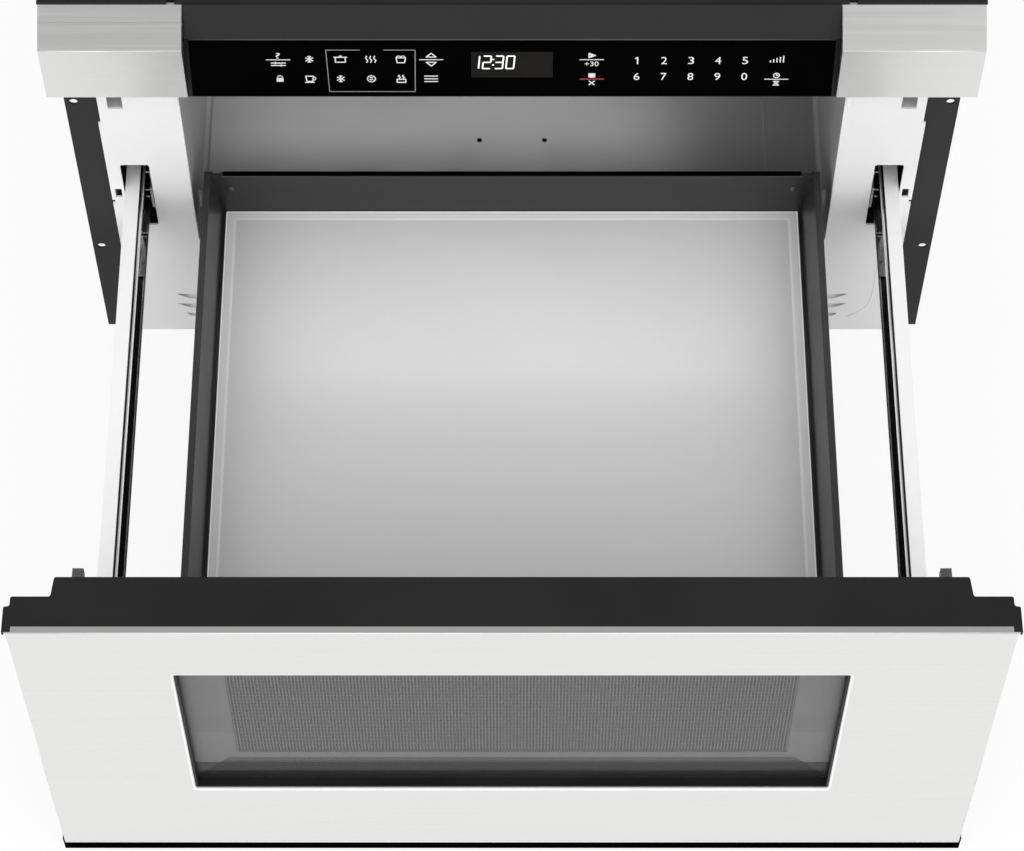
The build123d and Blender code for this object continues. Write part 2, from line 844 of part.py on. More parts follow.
def waveguide():
    guide = facing_up(waveguide_plan(0), waveguide_bottom, waveguide_height)
    guide -= facing_up(waveguide_plan(sheet), waveguide_bottom + sheet,
                       waveguide_height - 2 * sheet)
    guide -= prism(port_radius, drum_sides, (0, port_centre_y, waveguide_bottom - through),
                   (0, port_centre_y, waveguide_bottom + 2 * through))
    guide -= rod(antenna_radius + antenna_fit, (0, antenna_y, waveguide_bottom - through),
                 (0, antenna_y, waveguide_bottom + 2 * through))
    guide -= rod(stirrer_hole_radius, (0, port_centre_y, waveguide_top - 2 * through),
                 (0, port_centre_y, waveguide_top + through))
    return guide


stirrer_level = 17.0
stirrer_hub_radius = 9.0
stirrer_hub_half = 5.0
stirrer_shaft_radius = 3.0
stirrer_shaft_reach = 1.0
stirrer_root = 6.0
stirrer_blade_width = 22.0
stirrer_blade_sheet = 1.2
stirrer_blade_corner = 6.0


def stirrer():
    """A hub with pitched blades that spreads the microwaves over the ceiling opening."""
    middle = waveguide_bottom + stirrer_level
    wheel = prism(stirrer_hub_radius, drum_sides, (0, port_centre_y, middle - stirrer_hub_half),
                  (0, port_centre_y, middle + stirrer_hub_half))
    wheel += rod(stirrer_shaft_radius, (0, port_centre_y, middle),
                 (0, port_centre_y, waveguide_top + stirrer_shaft_reach))
    span = stirrer_radius - stirrer_root
    plan = Rectangle(span, stirrer_blade_width)
    plan = chamfer(plan.vertices().group_by(Axis.X)[-1], stirrer_blade_corner)
    blade = Rot(stirrer_pitch, 0, 0) * extrude(plan, stirrer_blade_sheet)
    blade = Pos(stirrer_root + span / 2, 0, 0) * blade
    for step in range(stirrer_blades):
        turned = Rot(0, 0, step * 360.0 / stirrer_blades) * blade
        wheel += Pos(0, port_centre_y, middle) * turned
    return wheel


stirrer_motor_radius = 24.0
stirrer_ear_half = 34.0
stirrer_ear_width = 14.0
stirrer_ear_sheet = 1.6
stirrer_motor_gap = 1.0


def stirrer_motor():
    """A flat round motor on top of the wave guide, with its mounting ears."""
    top = body_height - sheet - stirrer_motor_gap
    motor = block(-stirrer_ear_half, stirrer_ear_half, port_centre_y - stirrer_ear_width / 2,
                  port_centre_y + stirrer_ear_width / 2, waveguide_top,
                  waveguide_top + stirrer_ear_sheet)
    motor += prism(stirrer_motor_radius, drum_sides, (0, port_centre_y, waveguide_top),
                   (0, port_centre_y, top))
    motor -= rod(stirrer_shaft_radius + shaft_clearance,
                 (0, port_centre_y, waveguide_top - through),
                 (0, port_centre_y, waveguide_top + 3 * stirrer_shaft_reach))
    return motor


yoke_sheet = 3.0
tube_radius = 20.0
tube_sides = 12
antenna_sink = 1.0
antenna_reach = 24.0
fin_margin = 15.0
fin_side_gap = 2.0
fin_end_gap = 6.0
fin_sheet = 1.0
filter_box_half = 26.0
filter_box_half_depth = 30.0
filter_box_height = 26.0


def magnetron():
    """Tube core in a yoke, with cooling fins, filter box and antenna."""
    top = waveguide_bottom
    low = top - magnetron_height
    half_w, half_d = magnetron_width / 2, magnetron_depth / 2
    front, rear = antenna_y - half_d, antenna_y + half_d
    body = block(-half_w, half_w, front, rear, low, top)
    body -= block(-half_w + yoke_sheet, half_w - yoke_sheet, front - through, rear + through,
                  low + yoke_sheet, top - yoke_sheet)
    body += prism(tube_radius, tube_sides, (0, antenna_y, low), (0, antenna_y, top))
    body += rod(antenna_radius, (0, antenna_y, top - antenna_sink),
                (0, antenna_y, top + antenna_reach))
    fin_pitch = (magnetron_height - 2 * fin_margin) / (magnetron_fins - 1)
    for step in range(magnetron_fins):
        z = low + fin_margin + step * fin_pitch
        body += block(-half_w + fin_side_gap, half_w - fin_side_gap, front + fin_end_gap,
                      rear - fin_end_gap, z - fin_sheet / 2, z + fin_sheet / 2)
    body += block(-filter_box_half, filter_box_half, antenna_y - filter_box_half_depth,
                  antenna_y + filter_box_half_depth, low - filter_box_height, low)
    return body


transformer_x = 60.0
transformer_y = 300.0
transformer_foot = 2.0
transformer_foot_lap = 12.0
core_end_gap = 18.0
core_yoke = 18.0
winding_gap = 2.0
winding_corner = 14.0
winding_split = 3.0


def transformer():
    """Laminated core with two windings, and its mounting foot."""
    x0, x1 = transformer_x, transformer_x + transformer_width
    y0, y1 = transformer_y, transformer_y + transformer_depth
    core_low = base_top + transformer_foot
    core_high = core_low + transformer_height
    limb = transformer_width / 4
    core = rect(x0, x1, core_low, core_high)
    for x in (x0 + limb / 2, x1 - limb / 2 - limb):
        core -= rect(x, x + limb, core_low + core_yoke, core_high - core_yoke)
    unit = facing_front(core, y0 + core_end_gap, transformer_depth - 2 * core_end_gap)
    winding = cut_corner_rect(x0 + limb / 2 + winding_gap, x1 - limb / 2 - winding_gap, y0, y1,
                              winding_corner)
    middle = (core_low + core_high) / 2
    height = (core_high - core_low) / 2 - core_yoke - winding_gap - winding_split / 2
    unit += facing_up(winding, middle - winding_split / 2 - height, height)
    unit += facing_up(winding, middle + winding_split / 2, height)
    unit += block(x0 - transformer_foot_lap, x1 + transformer_foot_lap, y0 + core_end_gap,
                  y1 - core_end_gap, base_top, core_low)
    return unit


capacitor_x = -30.0
capacitor_y = 345.0
capacitor_half = 28.0
capacitor_half_depth = 17.0
capacitor_corner = 10.0
capacitor_height = 88.0
terminal_half = 3.0
terminal_sheet = 1.0
terminal_height = 10.0
terminal_spread = 12.0


def capacitor():
    plan = cut_corner_rect(capacitor_x - capacitor_half, capacitor_x + capacitor_half,
                           capacitor_y - capacitor_half_depth,
                           capacitor_y + capacitor_half_depth, capacitor_corner)
    top = base_top + capacitor_height
    can = facing_up(plan, base_top, capacitor_height)
    for x in (capacitor_x - terminal_spread, capacitor_x + terminal_spread):
        can += block(x - terminal_half, x + terminal_half, capacitor_y,
                     capacitor_y + terminal_sheet, top, top + terminal_height)
    return can


circuit_standoff = 8.0
circuit_sheet = 1.6
post_half = 3.0
post_inset = 8.0
power_board_box = (-230.0, -110.0, 250.0, 400.0)
power_board_parts = ((-190.0, 290.0, 34.0, 28.0, 26.0), (-150.0, 300.0, 18.0, 15.0, 15.0),
                     (-150.0, 330.0, 18.0, 15.0, 15.0), (-190.0, 350.0, 20.0, 20.0, 22.0),
                     (-150.0, 370.0, 24.0, 12.0, 10.0))
line_filter_x = 195.0
line_filter_half = 45.0
line_filter_depth = 70.0
line_filter_rear_gap = 32.6
line_filter_rear = back_inner - line_filter_rear_gap
line_filter_front = line_filter_rear - line_filter_depth
line_filter_y = (line_filter_front + line_filter_rear) / 2
fuse_shift = 28.0
fuse_size = (15.0, 20.0, 14.4)
core_size = (16.0, 16.0, 8.4)
choke_coil_radius = 18.0
choke_coil_hole = 7.0
choke_coil_height = 12.0
choke_coil_lift = 4.0
choke_coil_sides = 12


def circuit(box, components):
    """A circuit board on four posts, with blocks for its larger components."""
    x0, x1, y0, y1 = box
    under = base_top + circuit_standoff
    face = under + circuit_sheet
    board = block(x0, x1, y0, y1, under, face)
    for x in (x0 + post_inset, x1 - post_inset):
        for y in (y0 + post_inset, y1 - post_inset):
            board += block(x - post_half, x + post_half, y - post_half, y + post_half,
                           base_top, under)
    for x, y, width, depth, height in components:
        board += block(x - width / 2, x + width / 2, y - depth / 2, y + depth / 2, face,
                       face + height)
    return board


def line_filter():
    ring = RegularPolygon(choke_coil_radius, choke_coil_sides)
    ring -= RegularPolygon(choke_coil_hole, choke_coil_sides)
    level = base_top + circuit_standoff + circuit_sheet + choke_coil_lift
    coil = facing_up(Pos(line_filter_x, line_filter_y) * ring, level, choke_coil_height)
    box = (line_filter_x - line_filter_half, line_filter_x + line_filter_half,
           line_filter_front, line_filter_rear)
    components = ((line_filter_x - fuse_shift, line_filter_y, *fuse_size),
                  (line_filter_x, line_filter_y, *core_size))
    return circuit(box, components) + coil


lamp_margin = 6.0
lamp_holder_depth = 16.0
lamp_holder_length = 40.0
lamp_holder_height = 26.0
lamp_wall = 2.0
lamp_back = 3.0
lamp_bulb_radius = 5.0
lamp_bulb_sides = 12


def lamp():
    """Lamp holder on the outside of the cavity's right wall."""
    x0 = cavity_half + cavity_sheet
    x1 = x0 + lamp_holder_depth
    y0 = plate_rear + lamp_setback - lamp_margin
    y1 = y0 + lamp_holder_length
    z0 = lamp_level - lamp_margin
    z1 = z0 + lamp_holder_height
    holder = block(x0, x1, y0, y1, z0, z1)
    holder -= block(x0 - through, x1 - lamp_back, y0 + lamp_wall, y1 - lamp_wall,
                    z0 + lamp_wall, z1 - lamp_wall)
    middle = ((y0 + y1) / 2, (z0 + z1) / 2)
    holder += prism(lamp_bulb_radius, lamp_bulb_sides, (x0 + lamp_wall, *middle),
                    (x1 - lamp_wall, *middle))
    return holder


# ---------------------------------------------------------------- cooling fan
fan_shaft_radius = 2.5
fan_shroud_margin = 8.0
fan_motor_space = 10.0
throat_sides = 24
spider_radius = 21.0
spider_arms = 3
spider_arm_half = 4.0
spider_sheet = 3.0
fan_motor_radius = 20.0
fan_motor_length = 34.0
fan_bore_depth = 12.0
fan_hub_radius = 15.0
fan_end_gap = 4.0
fan_shaft_length = 16.0
blade_chord = 21.0
blade_camber = 3.0
blade_sheet = 1.4
blade_root = 13.0
blade_pitch = 38.0            # degrees
fan_front = back_inner - fan_depth - fan_motor_space


def fan_shroud():
    """Square shroud with a round throat, and the three arms that hold the motor."""
    half = fan_radius + fan_shroud_margin
    place = Pos(fan_centre_x, fan_centre_z)
    sketch = place * Rectangle(2 * half, 2 * half)
    sketch -= place * RegularPolygon(fan_radius + fan_tip_gap, throat_sides)
    shroud = facing_front(sketch, fan_front, fan_depth + fan_motor_space)
    spider = place * RegularPolygon(spider_radius, drum_sides)
    for step in range(spider_arms):
        arm = rect(0, half - fan_shroud_margin / 4, -spider_arm_half, spider_arm_half)
        spider += place * (Rot(0, 0, 90 + step * 360.0 / spider_arms) * arm)
    shroud += facing_front(spider, fan_front, spider_sheet)
    shroud -= rod(fan_shaft_radius + shaft_clearance,
                  (fan_centre_x, fan_front - through, fan_centre_z),
                  (fan_centre_x, back_inner, fan_centre_z))
    return shroud


def fan_motor():
    motor = prism(fan_motor_radius, drum_sides,
                  (fan_centre_x, fan_front - fan_motor_length, fan_centre_z),
                  (fan_centre_x, fan_front, fan_centre_z))
    motor -= rod(fan_shaft_radius + shaft_clearance,
                 (fan_centre_x, fan_front - fan_bore_depth, fan_centre_z),
                 (fan_centre_x, fan_front + through, fan_centre_z))
    return motor


def fan_wheel():
    """Hub, shaft and pitched, cambered blades."""
    y0 = back_inner - fan_depth - fan_end_gap
    y1 = back_inner - fan_end_gap
    wheel = prism(fan_hub_radius, drum_sides, (fan_centre_x, y0, fan_centre_z),
                  (fan_centre_x, y1, fan_centre_z))
    wheel += rod(fan_shaft_radius, (fan_centre_x, y0 - fan_shaft_length, fan_centre_z),
                 (fan_centre_x, y0, fan_centre_z))
    half, knee = blade_chord / 2, blade_chord / 6
    section = outline([(-half, 0), (-knee, blade_camber), (knee, blade_camber), (half, 0),
                       (half, blade_sheet), (knee, blade_camber + blade_sheet),
                       (-knee, blade_camber + blade_sheet), (-half, blade_sheet)])
    section = Rot(0, 0, blade_pitch) * (Pos(0, -blade_camber / 2) * section)
    blade = facing_up(section, blade_root, fan_radius - blade_root)
    for step in range(fan_blades):
        turned = Rot(0, step * 360.0 / fan_blades, 0) * blade
        wheel += Pos(fan_centre_x, (y0 + y1) / 2, fan_centre_z) * turned
    return wheel


duct_depth = 50.0
duct_left_gap = 24.0
duct_right_gap = 3.0
duct_below = 30.0
duct_above = 70.0
duct_wall = 2.0


def air_duct():
    """Moulded duct that leads the fan's air across to the magnetron."""
    y0, y1 = fan_front - duct_depth, fan_front
    left = fan_centre_x + duct_left_gap
    right = -magnetron_width / 2 - duct_right_gap
    low, high = fan_centre_z - duct_below, fan_centre_z + duct_above
    outer = block(left, right, y0, y1, low, high)
    inner = block(left - through, right + through, y0 + duct_wall, y1 - duct_wall,
                  low + duct_wall, high - duct_wall)
    return outer - inner


# ---------------------------------------------------------------- door
choke_front = door_front + glass_recess + glass_thickness
choke_rear = door_rear - choke_cover_depth


def choke_outline(inset):
    """The door's rear pocket, drawn smaller by an inset."""
    border = choke_border + inset
    return rect(-choke_half + border, choke_half - border, door_bottom + border,
                door_top - border)


def window_outline(grow=0.0):
    return rect(-window_half - grow, window_half + grow, window_bottom - grow,
                window_top + grow)


def hook_foot_outline():
    x0 = latch_slot_inner + (latch_slot_width - hook_width) / 2
    low = hook_top - hook_height
    return rect(x0 - hook_foot_side, x0 + hook_width + hook_foot_side, low - hook_foot_below,
                hook_top + hook_foot_above)


def corner_blocks(inner, outer_x, outer_z, y0, y1):
    """Blocks in the four corners of the door's front, each from inner out to its sides."""
    blocks = Part()
    for low, high in ((door_bottom - outer_z, door_bottom + inner),
                      (door_top - inner, door_top + outer_z)):
        for _, side in SIDES:
            blocks += at_side(block(skin_half - inner, outer_x, y0, y1, low, high), side)
    return blocks


def door_frame():
    """Moulded frame: stepped at its sides, with a deep rear pocket for the choke."""
    front = door_front + skin_return
    points = [(0, front), (door_half, front), (door_half, door_front + outer_step),
              (outer_step_half, door_front + outer_step),
              (outer_step_half, door_front + middle_step), (choke_half, door_front + middle_step),
              (choke_half - choke_draft, door_rear), (0, door_rear)]
    half = outline(points)
    corners = [v for v in half.vertices() if v.X > 1 and v.Y > front + 1]
    half = fillet(corners, step_radius)
    plan = half + mirror(half, about=Plane.YZ)
    frame = facing_up(plan, door_bottom, door_height)
    frame += block(-skin_half + skin_sheet, skin_half - skin_sheet, door_front + skin_sheet,
                   front, door_bottom + skin_sheet, door_top - skin_sheet)
    frame += corner_blocks(skin_notch, door_half, 0, door_front + skin_sheet, front)
    frame -= facing_front(choke_outline(0), choke_front, door_thickness)
    frame -= facing_front(window_outline(), door_front, bezel_setback)
    frame -= facing_front(window_outline(skin_sheet) - window_outline(), door_front,
                          window_return)
    frame -= facing_front(window_outline(-bezel_width), door_front, door_thickness)
    frame -= facing_front(window_outline(glass_overlap), door_front + glass_recess,
                          door_thickness)
    for _, side in SIDES:
        frame -= at_side(facing_front(hook_foot_outline(), door_rear - hook_foot,
                                      hook_foot + through), side)
    return frame


def door_skin():
    """Stainless front with folded edges and a window with its own small returns."""
    rear = door_front + skin_return
    skin = block(-skin_half, skin_half, door_front, rear, door_bottom, door_top)
    front_edges = skin.faces().sort_by(Axis.Y)[0].edges()
    skin = fillet(front_edges, skin_edge_radius)
    skin -= block(-skin_half + skin_sheet, skin_half - skin_sheet, door_front + skin_sheet,
                  rear + through, door_bottom + skin_sheet, door_top - skin_sheet)
    skin -= corner_blocks(skin_notch, door_half, through, door_front + skin_sheet,
                          rear + through)
    skin += facing_front(window_outline(skin_sheet), door_front, window_return)
    skin -= facing_front(window_outline(), door_front - through, window_return + 2 * through)
    rim = skin.faces().sort_by(Axis.Y)[0].inner_wires()[0].edges()
    return fillet(rim, window_edge_radius)


def door_glass():
    return facing_front(window_outline(glass_overlap - choke_fit), door_front + glass_recess,
                        glass_thickness)


def choke_panel():
    """Steel door panel: window opening in the middle, choke channel round the edge."""
    panel = facing_front(choke_outline(choke_fit), choke_front, choke_rear - choke_front)
    channel = choke_outline(choke_fit + sheet) - choke_outline(choke_wall)
    panel -= facing_front(channel, choke_front + sheet, door_thickness)
    panel -= facing_front(choke_outline(choke_wall + sheet), choke_front + sheet, door_thickness)
    window = rect(-mesh_half, mesh_half, mesh_bottom, mesh_bottom + mesh_height)
    panel -= facing_front(window, choke_front - through, door_thickness)
    # choke teeth: slots cut through the channel's inner wall
    border = choke_border + choke_wall
    columns = int((2 * (choke_half - border) - choke_tooth_pitch) / choke_tooth_pitch)
    for step in range(columns):
        x = (step - (columns - 1) / 2) * choke_tooth_pitch
        for low in (door_bottom + border - through, door_top - border - sheet - through):
            panel -= block(x - choke_tooth_slot / 2, x + choke_tooth_slot / 2,
                           choke_rear - choke_tooth_depth, choke_rear + through, low,
                           low + sheet + 2 * through)
    return panel


def shield_screen():
    """Fine perforated screen that sits behind the window opening."""
    sketch = rect(-mesh_half - mesh_margin, mesh_half + mesh_margin, mesh_bottom - mesh_margin,
                  mesh_bottom + mesh_height + mesh_margin)
    return facing_front(sketch, choke_front + sheet, mesh_sheet)


def choke_cover():
    """Plastic ring that closes the choke channel at the rear of the door."""
    ring = choke_outline(choke_fit) - choke_outline(choke_wall + choke_cover_lap)
    return facing_front(ring, choke_rear, door_rear - choke_rear)


def rear_window():
    pane = choke_outline(choke_wall + sheet + choke_fit)
    return facing_front(pane, choke_rear - rear_window_thickness, rear_window_thickness)


def door_bottom_trim():
    front = door_front + trim_setback
    trim = block(-door_half + trim_side_gap, door_half - trim_side_gap, front,
                 front + trim_depth, door_bottom - trim_height, door_bottom)
    edges = trim.edges().filter_by(Axis.X).group_by(Axis.Z)[0]
    return fillet(edges, trim_radius)


def latch_hook(side):
    """Flat hook that enters the latch slot and trips the door switch."""
    x0 = latch_slot_inner + (latch_slot_width - hook_width) / 2
    low = hook_top - hook_height
    tip = door_rear + hook_reach
    shank = hook_top - hook_neck
    profile = outline([(door_rear, low), (tip - hook_chamfer, low), (tip, low + hook_chamfer),
                       (tip, hook_top), (tip - hook_nose, hook_top), (tip - hook_nose, shank),
                       (door_rear + hook_heel_run, shank),
                       (door_rear, hook_top + hook_heel_rise)])
    hook = facing_side(profile, x0, hook_width)
    foot = facing_front(hook_foot_outline(), door_rear - hook_foot, hook_foot)
    return at_side(hook + foot, side)


# ---------------------------------------------------------------- tray
tray_front = choke_rear
tray_end = tray_rear + tray_rear_wall + side_wall_overrun


def tray_section():
    """Cross-section of the right side wall: folded sheet, open at the bottom."""
    t = tray_sheet
    outer = outline([(tray_half, tray_bottom), (tray_half, tray_rim),
                     (tray_half - tray_rim_width, tray_rim), (tray_foot_half, ceramic_top),
                     (tray_foot_half, tray_bottom)])
    inner = outline([(tray_half - t, tray_bottom - through), (tray_half - t, tray_rim - t),
                     (tray_half - tray_rim_width + t, tray_rim - t),
                     (tray_foot_half + t, ceramic_top - t / 2),
                     (tray_foot_half + t, tray_bottom - through)])
    return outer - inner


def tray_rear_panel():
    """Rear wall with round upper corners and a bevelled front edge."""
    half = tray_foot_half + rear_wall_overlap
    face = rect(-tray_foot_half, tray_foot_half, tray_bottom, tray_rim)
    face = fillet(face.vertices().group_by(Axis.Y)[-1], rear_corner_radius)
    face += rect(-half, half, tray_bottom, ceramic_top)
    bevel = rear_wall_chamfer
    wall_back = tray_rear + tray_rear_wall
    profile = outline([(tray_rear, tray_bottom), (tray_rear, tray_rim - bevel),
                       (tray_rear + bevel, tray_rim), (wall_back, tray_rim),
                       (wall_back, tray_bottom)])
    return facing_front(face, tray_rear, tray_rear_wall) & facing_side(profile, -half, 2 * half)


def tray_frame():
    """Folded side walls, rear wall and the pan below the ceramic plate."""
    wall = facing_front(tray_section(), tray_front, tray_end - tray_front)
    # the side wall's upper rear corner is round
    round_y, round_z = tray_end - side_wall_radius, tray_rim - side_wall_radius
    corner = rect(round_y, tray_end + through, round_z, tray_rim + through)
    corner -= Pos(round_y, round_z) * Circle(side_wall_radius)
    wall -= facing_side(corner, tray_foot_half - through, tray_wall_width + 2 * through)
    # a gusset closes the corner between the side wall and the rear wall
    gusset = rect(tray_foot_half - rear_wall_overlap, tray_half - tray_sheet / 2, tray_bottom,
                  tray_rim - gusset_drop)
    wall += facing_front(gusset, tray_rear + gusset_setback, tray_rear_wall - gusset_setback)
    frame = tray_rear_panel()
    for _, side in SIDES:
        frame += at_side(wall, side)
    frame += block(-tray_foot_half, tray_foot_half, tray_front, tray_rear, tray_bottom,
                   ceramic_top - ceramic_thickness)
    return frame


def ceramic_plate():
    half = tray_foot_half - ceramic_gap
    y0, y1 = door_rear + ceramic_rear_gap, tray_rear - ceramic_rear_gap
    plate = block(-half, half, y0, y1, ceramic_top - ceramic_thickness, ceramic_top)
    near, far = bead_inset, bead_inset + bead_width
    line = rect(-half + near, half - near, y0 + near, y1 - near)
    line -= rect(-half + far, half - far, y0 + far, y1 - far)
    return plate + facing_up(line, ceramic_top, bead_height)


# ---------------------------------------------------------------- slides
drawer_member_face = bracket_outer - plate_sheet - rack_room
drawer_member_top = bracket_top - plate_sheet
slide_centre = drawer_member_top - drawer_member_height / 2
slide_front = door_rear + plate_sheet
race_gap = 2 * ball_radius + 2 * ball_gap
middle_member_height = drawer_member_height - 2 * (member_sheet + race_gap)
fixed_member_height = middle_member_height - 2 * (member_sheet + race_gap)
outer_cage_web = drawer_member_face - member_sheet - slide_fit
middle_member_face = outer_cage_web - cage_sheet - slide_fit
middle_member_tip = middle_member_face - middle_member_width
inner_cage_web = middle_member_face - member_sheet - slide_fit
fixed_member_tip = inner_cage_web - cage_sheet - slide_fit
fixed_member_web = fixed_member_tip - fixed_member_width
outer_cage_level = (middle_member_height + race_gap) / 2
inner_cage_level = (fixed_member_height + race_gap) / 2


def channel(web, tip, height, centre, thickness):
    """A C-shaped section, its web at one side and its two legs reaching to tip."""
    low, high = centre - height / 2, centre + height / 2
    inner = web + thickness if tip > web else web - thickness
    return outline([(web, low), (tip, low), (tip, low + thickness), (inner, low + thickness),
                    (inner, high - thickness), (tip, high - thickness), (tip, high),
                    (web, high)])


def drawer_member(side):
    """The large outer channel; the rest of the slide runs inside it."""
    section = channel(drawer_member_face, drawer_member_face - drawer_member_width,
                      drawer_member_height, slide_centre, member_sheet)
    return at_side(facing_front(section, slide_front, slide_length), side)


def middle_member(side):
    section = channel(middle_member_face, middle_member_tip, middle_member_height, slide_centre,
                      member_sheet)
    return at_side(facing_front(section, plate_front - middle_reach, middle_length), side)


def fixed_member(side):
    section = channel(fixed_member_web, fixed_member_tip, fixed_member_height, slide_centre,
                      member_sheet)
    return at_side(facing_front(section, plate_rear + fixed_setback, fixed_length), side)


def ball_cage(side, level, web, front):
    """Thin folded cage between two slide members, with a row of balls along each edge."""
    section = channel(web, middle_member_tip + cage_tip_inset, 2 * level + cage_sheet,
                      slide_centre, cage_sheet)
    cage = facing_front(section, front, cage_length)
    for step in range(balls_in_row):
        y = front + cage_margin + step * cage_pitch
        for z in (slide_centre - level, slide_centre + level):
            cage += prism(ball_radius, ball_sides, (middle_member_tip, y, z),
                          (middle_member_tip + 2 * ball_radius, y, z))
    return at_side(cage, side)


def slide_bracket(side):
    """White angle that carries the door on the slide."""
    web = bracket_outer - plate_sheet
    under = bracket_top - plate_sheet
    section = outline([(web, bracket_bottom), (bracket_outer, bracket_bottom),
                       (bracket_outer, bracket_top), (bracket_inner, bracket_top),
                       (bracket_inner, under), (web, under)])
    bracket = facing_front(section, door_rear, slide_length + plate_sheet)
    tab = rect(bracket_inner, bracket_outer, bracket_bottom, bracket_top)
    bracket += facing_front(tab, door_rear, plate_sheet)
    return at_side(bracket, side)


def slide_support(side):
    """Pressed rail on the cavity's side wall that holds the fixed slide member."""
    x0, x1 = cavity_half + cavity_sheet, fixed_member_web
    low, high = slide_centre - support_half, slide_centre + support_half
    t = plate_sheet
    section = outline([
        (x0, low - support_foot), (x0 + t, low - support_foot), (x0 + t, low), (x1, low),
        (x1, high), (x0 + t, high), (x0 + t, high + support_foot), (x0, high + support_foot),
        (x0, high - t), (x1 - t, high - t), (x1 - t, low + t), (x0, low + t)])
    support = facing_front(section, plate_rear + support_setback, support_length)
    return at_side(support, side)


# ---------------------------------------------------------------- drive
pinion_pitch_radius = gear_module * pinion_teeth / 2
pinion_tip_radius = pinion_pitch_radius + gear_addendum * gear_module
pinion_y = plate_front + pinion_setback
rack_pitch_line = rack_tip + gear_module
rack_root = rack_pitch_line + gear_dedendum * gear_module
pinion_z = rack_pitch_line - pinion_pitch_radius
tooth_pitch = pi * gear_module
pinion_x0 = drawer_member_face + side_clearance
pinion_width = rack_room - 2 * side_clearance


def drive_rack():
    """Straight rack with its teeth downwards, fastened inside the right bracket."""
    start = door_rear + rack_start
    end = start + rack_length
    slope = tan(radians(pressure_angle))
    half_tip = tooth_pitch / 4 - gear_module * slope - gear_backlash / 2
    half_root = tooth_pitch / 4 + gear_dedendum * gear_module * slope - gear_backlash / 2
    points = [(start, rack_root + rack_back), (start, rack_root)]
    first = int((start + half_root - pinion_y) / tooth_pitch)
    last = int((end - half_root - pinion_y) / tooth_pitch)
    for step in range(first, last):
        centre = pinion_y + step * tooth_pitch
        points += [(centre - half_root, rack_root), (centre - half_tip, rack_tip),
                   (centre + half_tip, rack_tip), (centre + half_root, rack_root)]
    points += [(end, rack_root), (end, rack_root + rack_back)]
    return facing_side(outline(points), drawer_member_face, rack_room)


def pinion_outline():
    """The toothed wheel: involute flanks, each drawn through three points."""
    base = pinion_pitch_radius * cos(radians(pressure_angle))
    root = pinion_pitch_radius - gear_dedendum * gear_module
    half_space = (pi / pinion_teeth + gear_backlash / pinion_pitch_radius) / 2

    def involute(radius):
        angle = sqrt((radius / base) ** 2 - 1)
        return angle - atan2(angle, 1)

    def flank(radius):
        return half_space + involute(radius) - involute(pinion_pitch_radius)

    low = flank(base)
    # from the middle of a tooth space, up one flank to the tip
    ups = [(root, low), (base, low), ((base + pinion_tip_radius) / 2,
                                      flank((base + pinion_tip_radius) / 2)),
           (pinion_tip_radius, flank(pinion_tip_radius))]
    points = []
    for step in range(pinion_teeth):
        middle = 2 * pi * step / pinion_teeth
        for radius, turn in reversed(ups):
            points.append((radius * sin(middle - turn), radius * cos(middle - turn)))
        for radius, turn in ups:
            points.append((radius * sin(middle + turn), radius * cos(middle + turn)))
    return outline(points)


def drive_pinion():
    """Toothed wheel and its shaft, turned by the gearbox."""
    pinion = facing_side(Pos(pinion_y, pinion_z) * pinion_outline(), pinion_x0, pinion_width)
    return pinion + rod(shaft_radius, (gearbox_x1 - shaft_engagement, pinion_y, pinion_z),
                        (pinion_x0 + pinion_width, pinion_y, pinion_z))


gearbox_width = 23.0
gearbox_x0 = cavity_half + cavity_sheet
gearbox_x1 = gearbox_x0 + gearbox_width
gearbox_setback = 10.0
gearbox_rear = 24.0
gearbox_y0 = plate_rear + gearbox_setback
gearbox_y1 = pinion_y + gearbox_rear
gearbox_below = 42.0
gearbox_above = 5.5
gearbox_corner = 5.0
gearbox_boss_radius = 7.0
gearbox_boss = 4.0
shaft_engagement = 12.0
motor_drop = 24.0
motor_inset = 17.0
motor_radius = 16.0
motor_length = 52.0


def gear_motor():
    """Gearbox against the cavity's side wall, with the motor can behind it."""
    case = cut_corner_rect(gearbox_y0, gearbox_y1, pinion_z - gearbox_below,
                           pinion_z + gearbox_above, gearbox_corner)
    box = facing_side(case, gearbox_x0, gearbox_width)
    box += prism(gearbox_boss_radius, drum_sides, (gearbox_x1, pinion_y, pinion_z),
                 (gearbox_x1 + gearbox_boss, pinion_y, pinion_z))
    box -= rod(shaft_radius + shaft_clearance,
               (gearbox_x1 - shaft_engagement - through, pinion_y, pinion_z),
               (gearbox_x1 + gearbox_boss + through, pinion_y, pinion_z))
    motor_x, motor_z = gearbox_x0 + motor_inset, pinion_z - motor_drop
    return box + prism(motor_radius, drum_sides, (motor_x, gearbox_y1, motor_z),
                       (motor_x, gearbox_y1 + motor_length, motor_z))


# ---------------------------------------------------------------- latch switches
latch_mid = latch_slot_inner + latch_slot_width / 2
latch_outer = latch_slot_inner + latch_slot_width
latch_high = latch_slot_bottom + latch_slot_height
hook_tip_shut = plate_front - door_gap + hook_reach
plunger_front = hook_tip_shut + plunger_gap
plunger_z = hook_top - hook_height / 2
latch_back = plunger_front + plunger_head + plunger_travel + plunger_over_travel
plunger_rear = latch_back + latch_wall + plunger_tail
switch_front = plunger_rear + plunger_travel + plunger_gap
switch_rear = switch_front + switch_depth
switch_low = plunger_z - switch_half_height
switch_high = plunger_z + switch_half_height


def square_bar(half, y0, y1):
    """A square bar along the plunger's line."""
    return block(latch_mid - half, latch_mid + half, y0, y1, plunger_z - half, plunger_z + half)


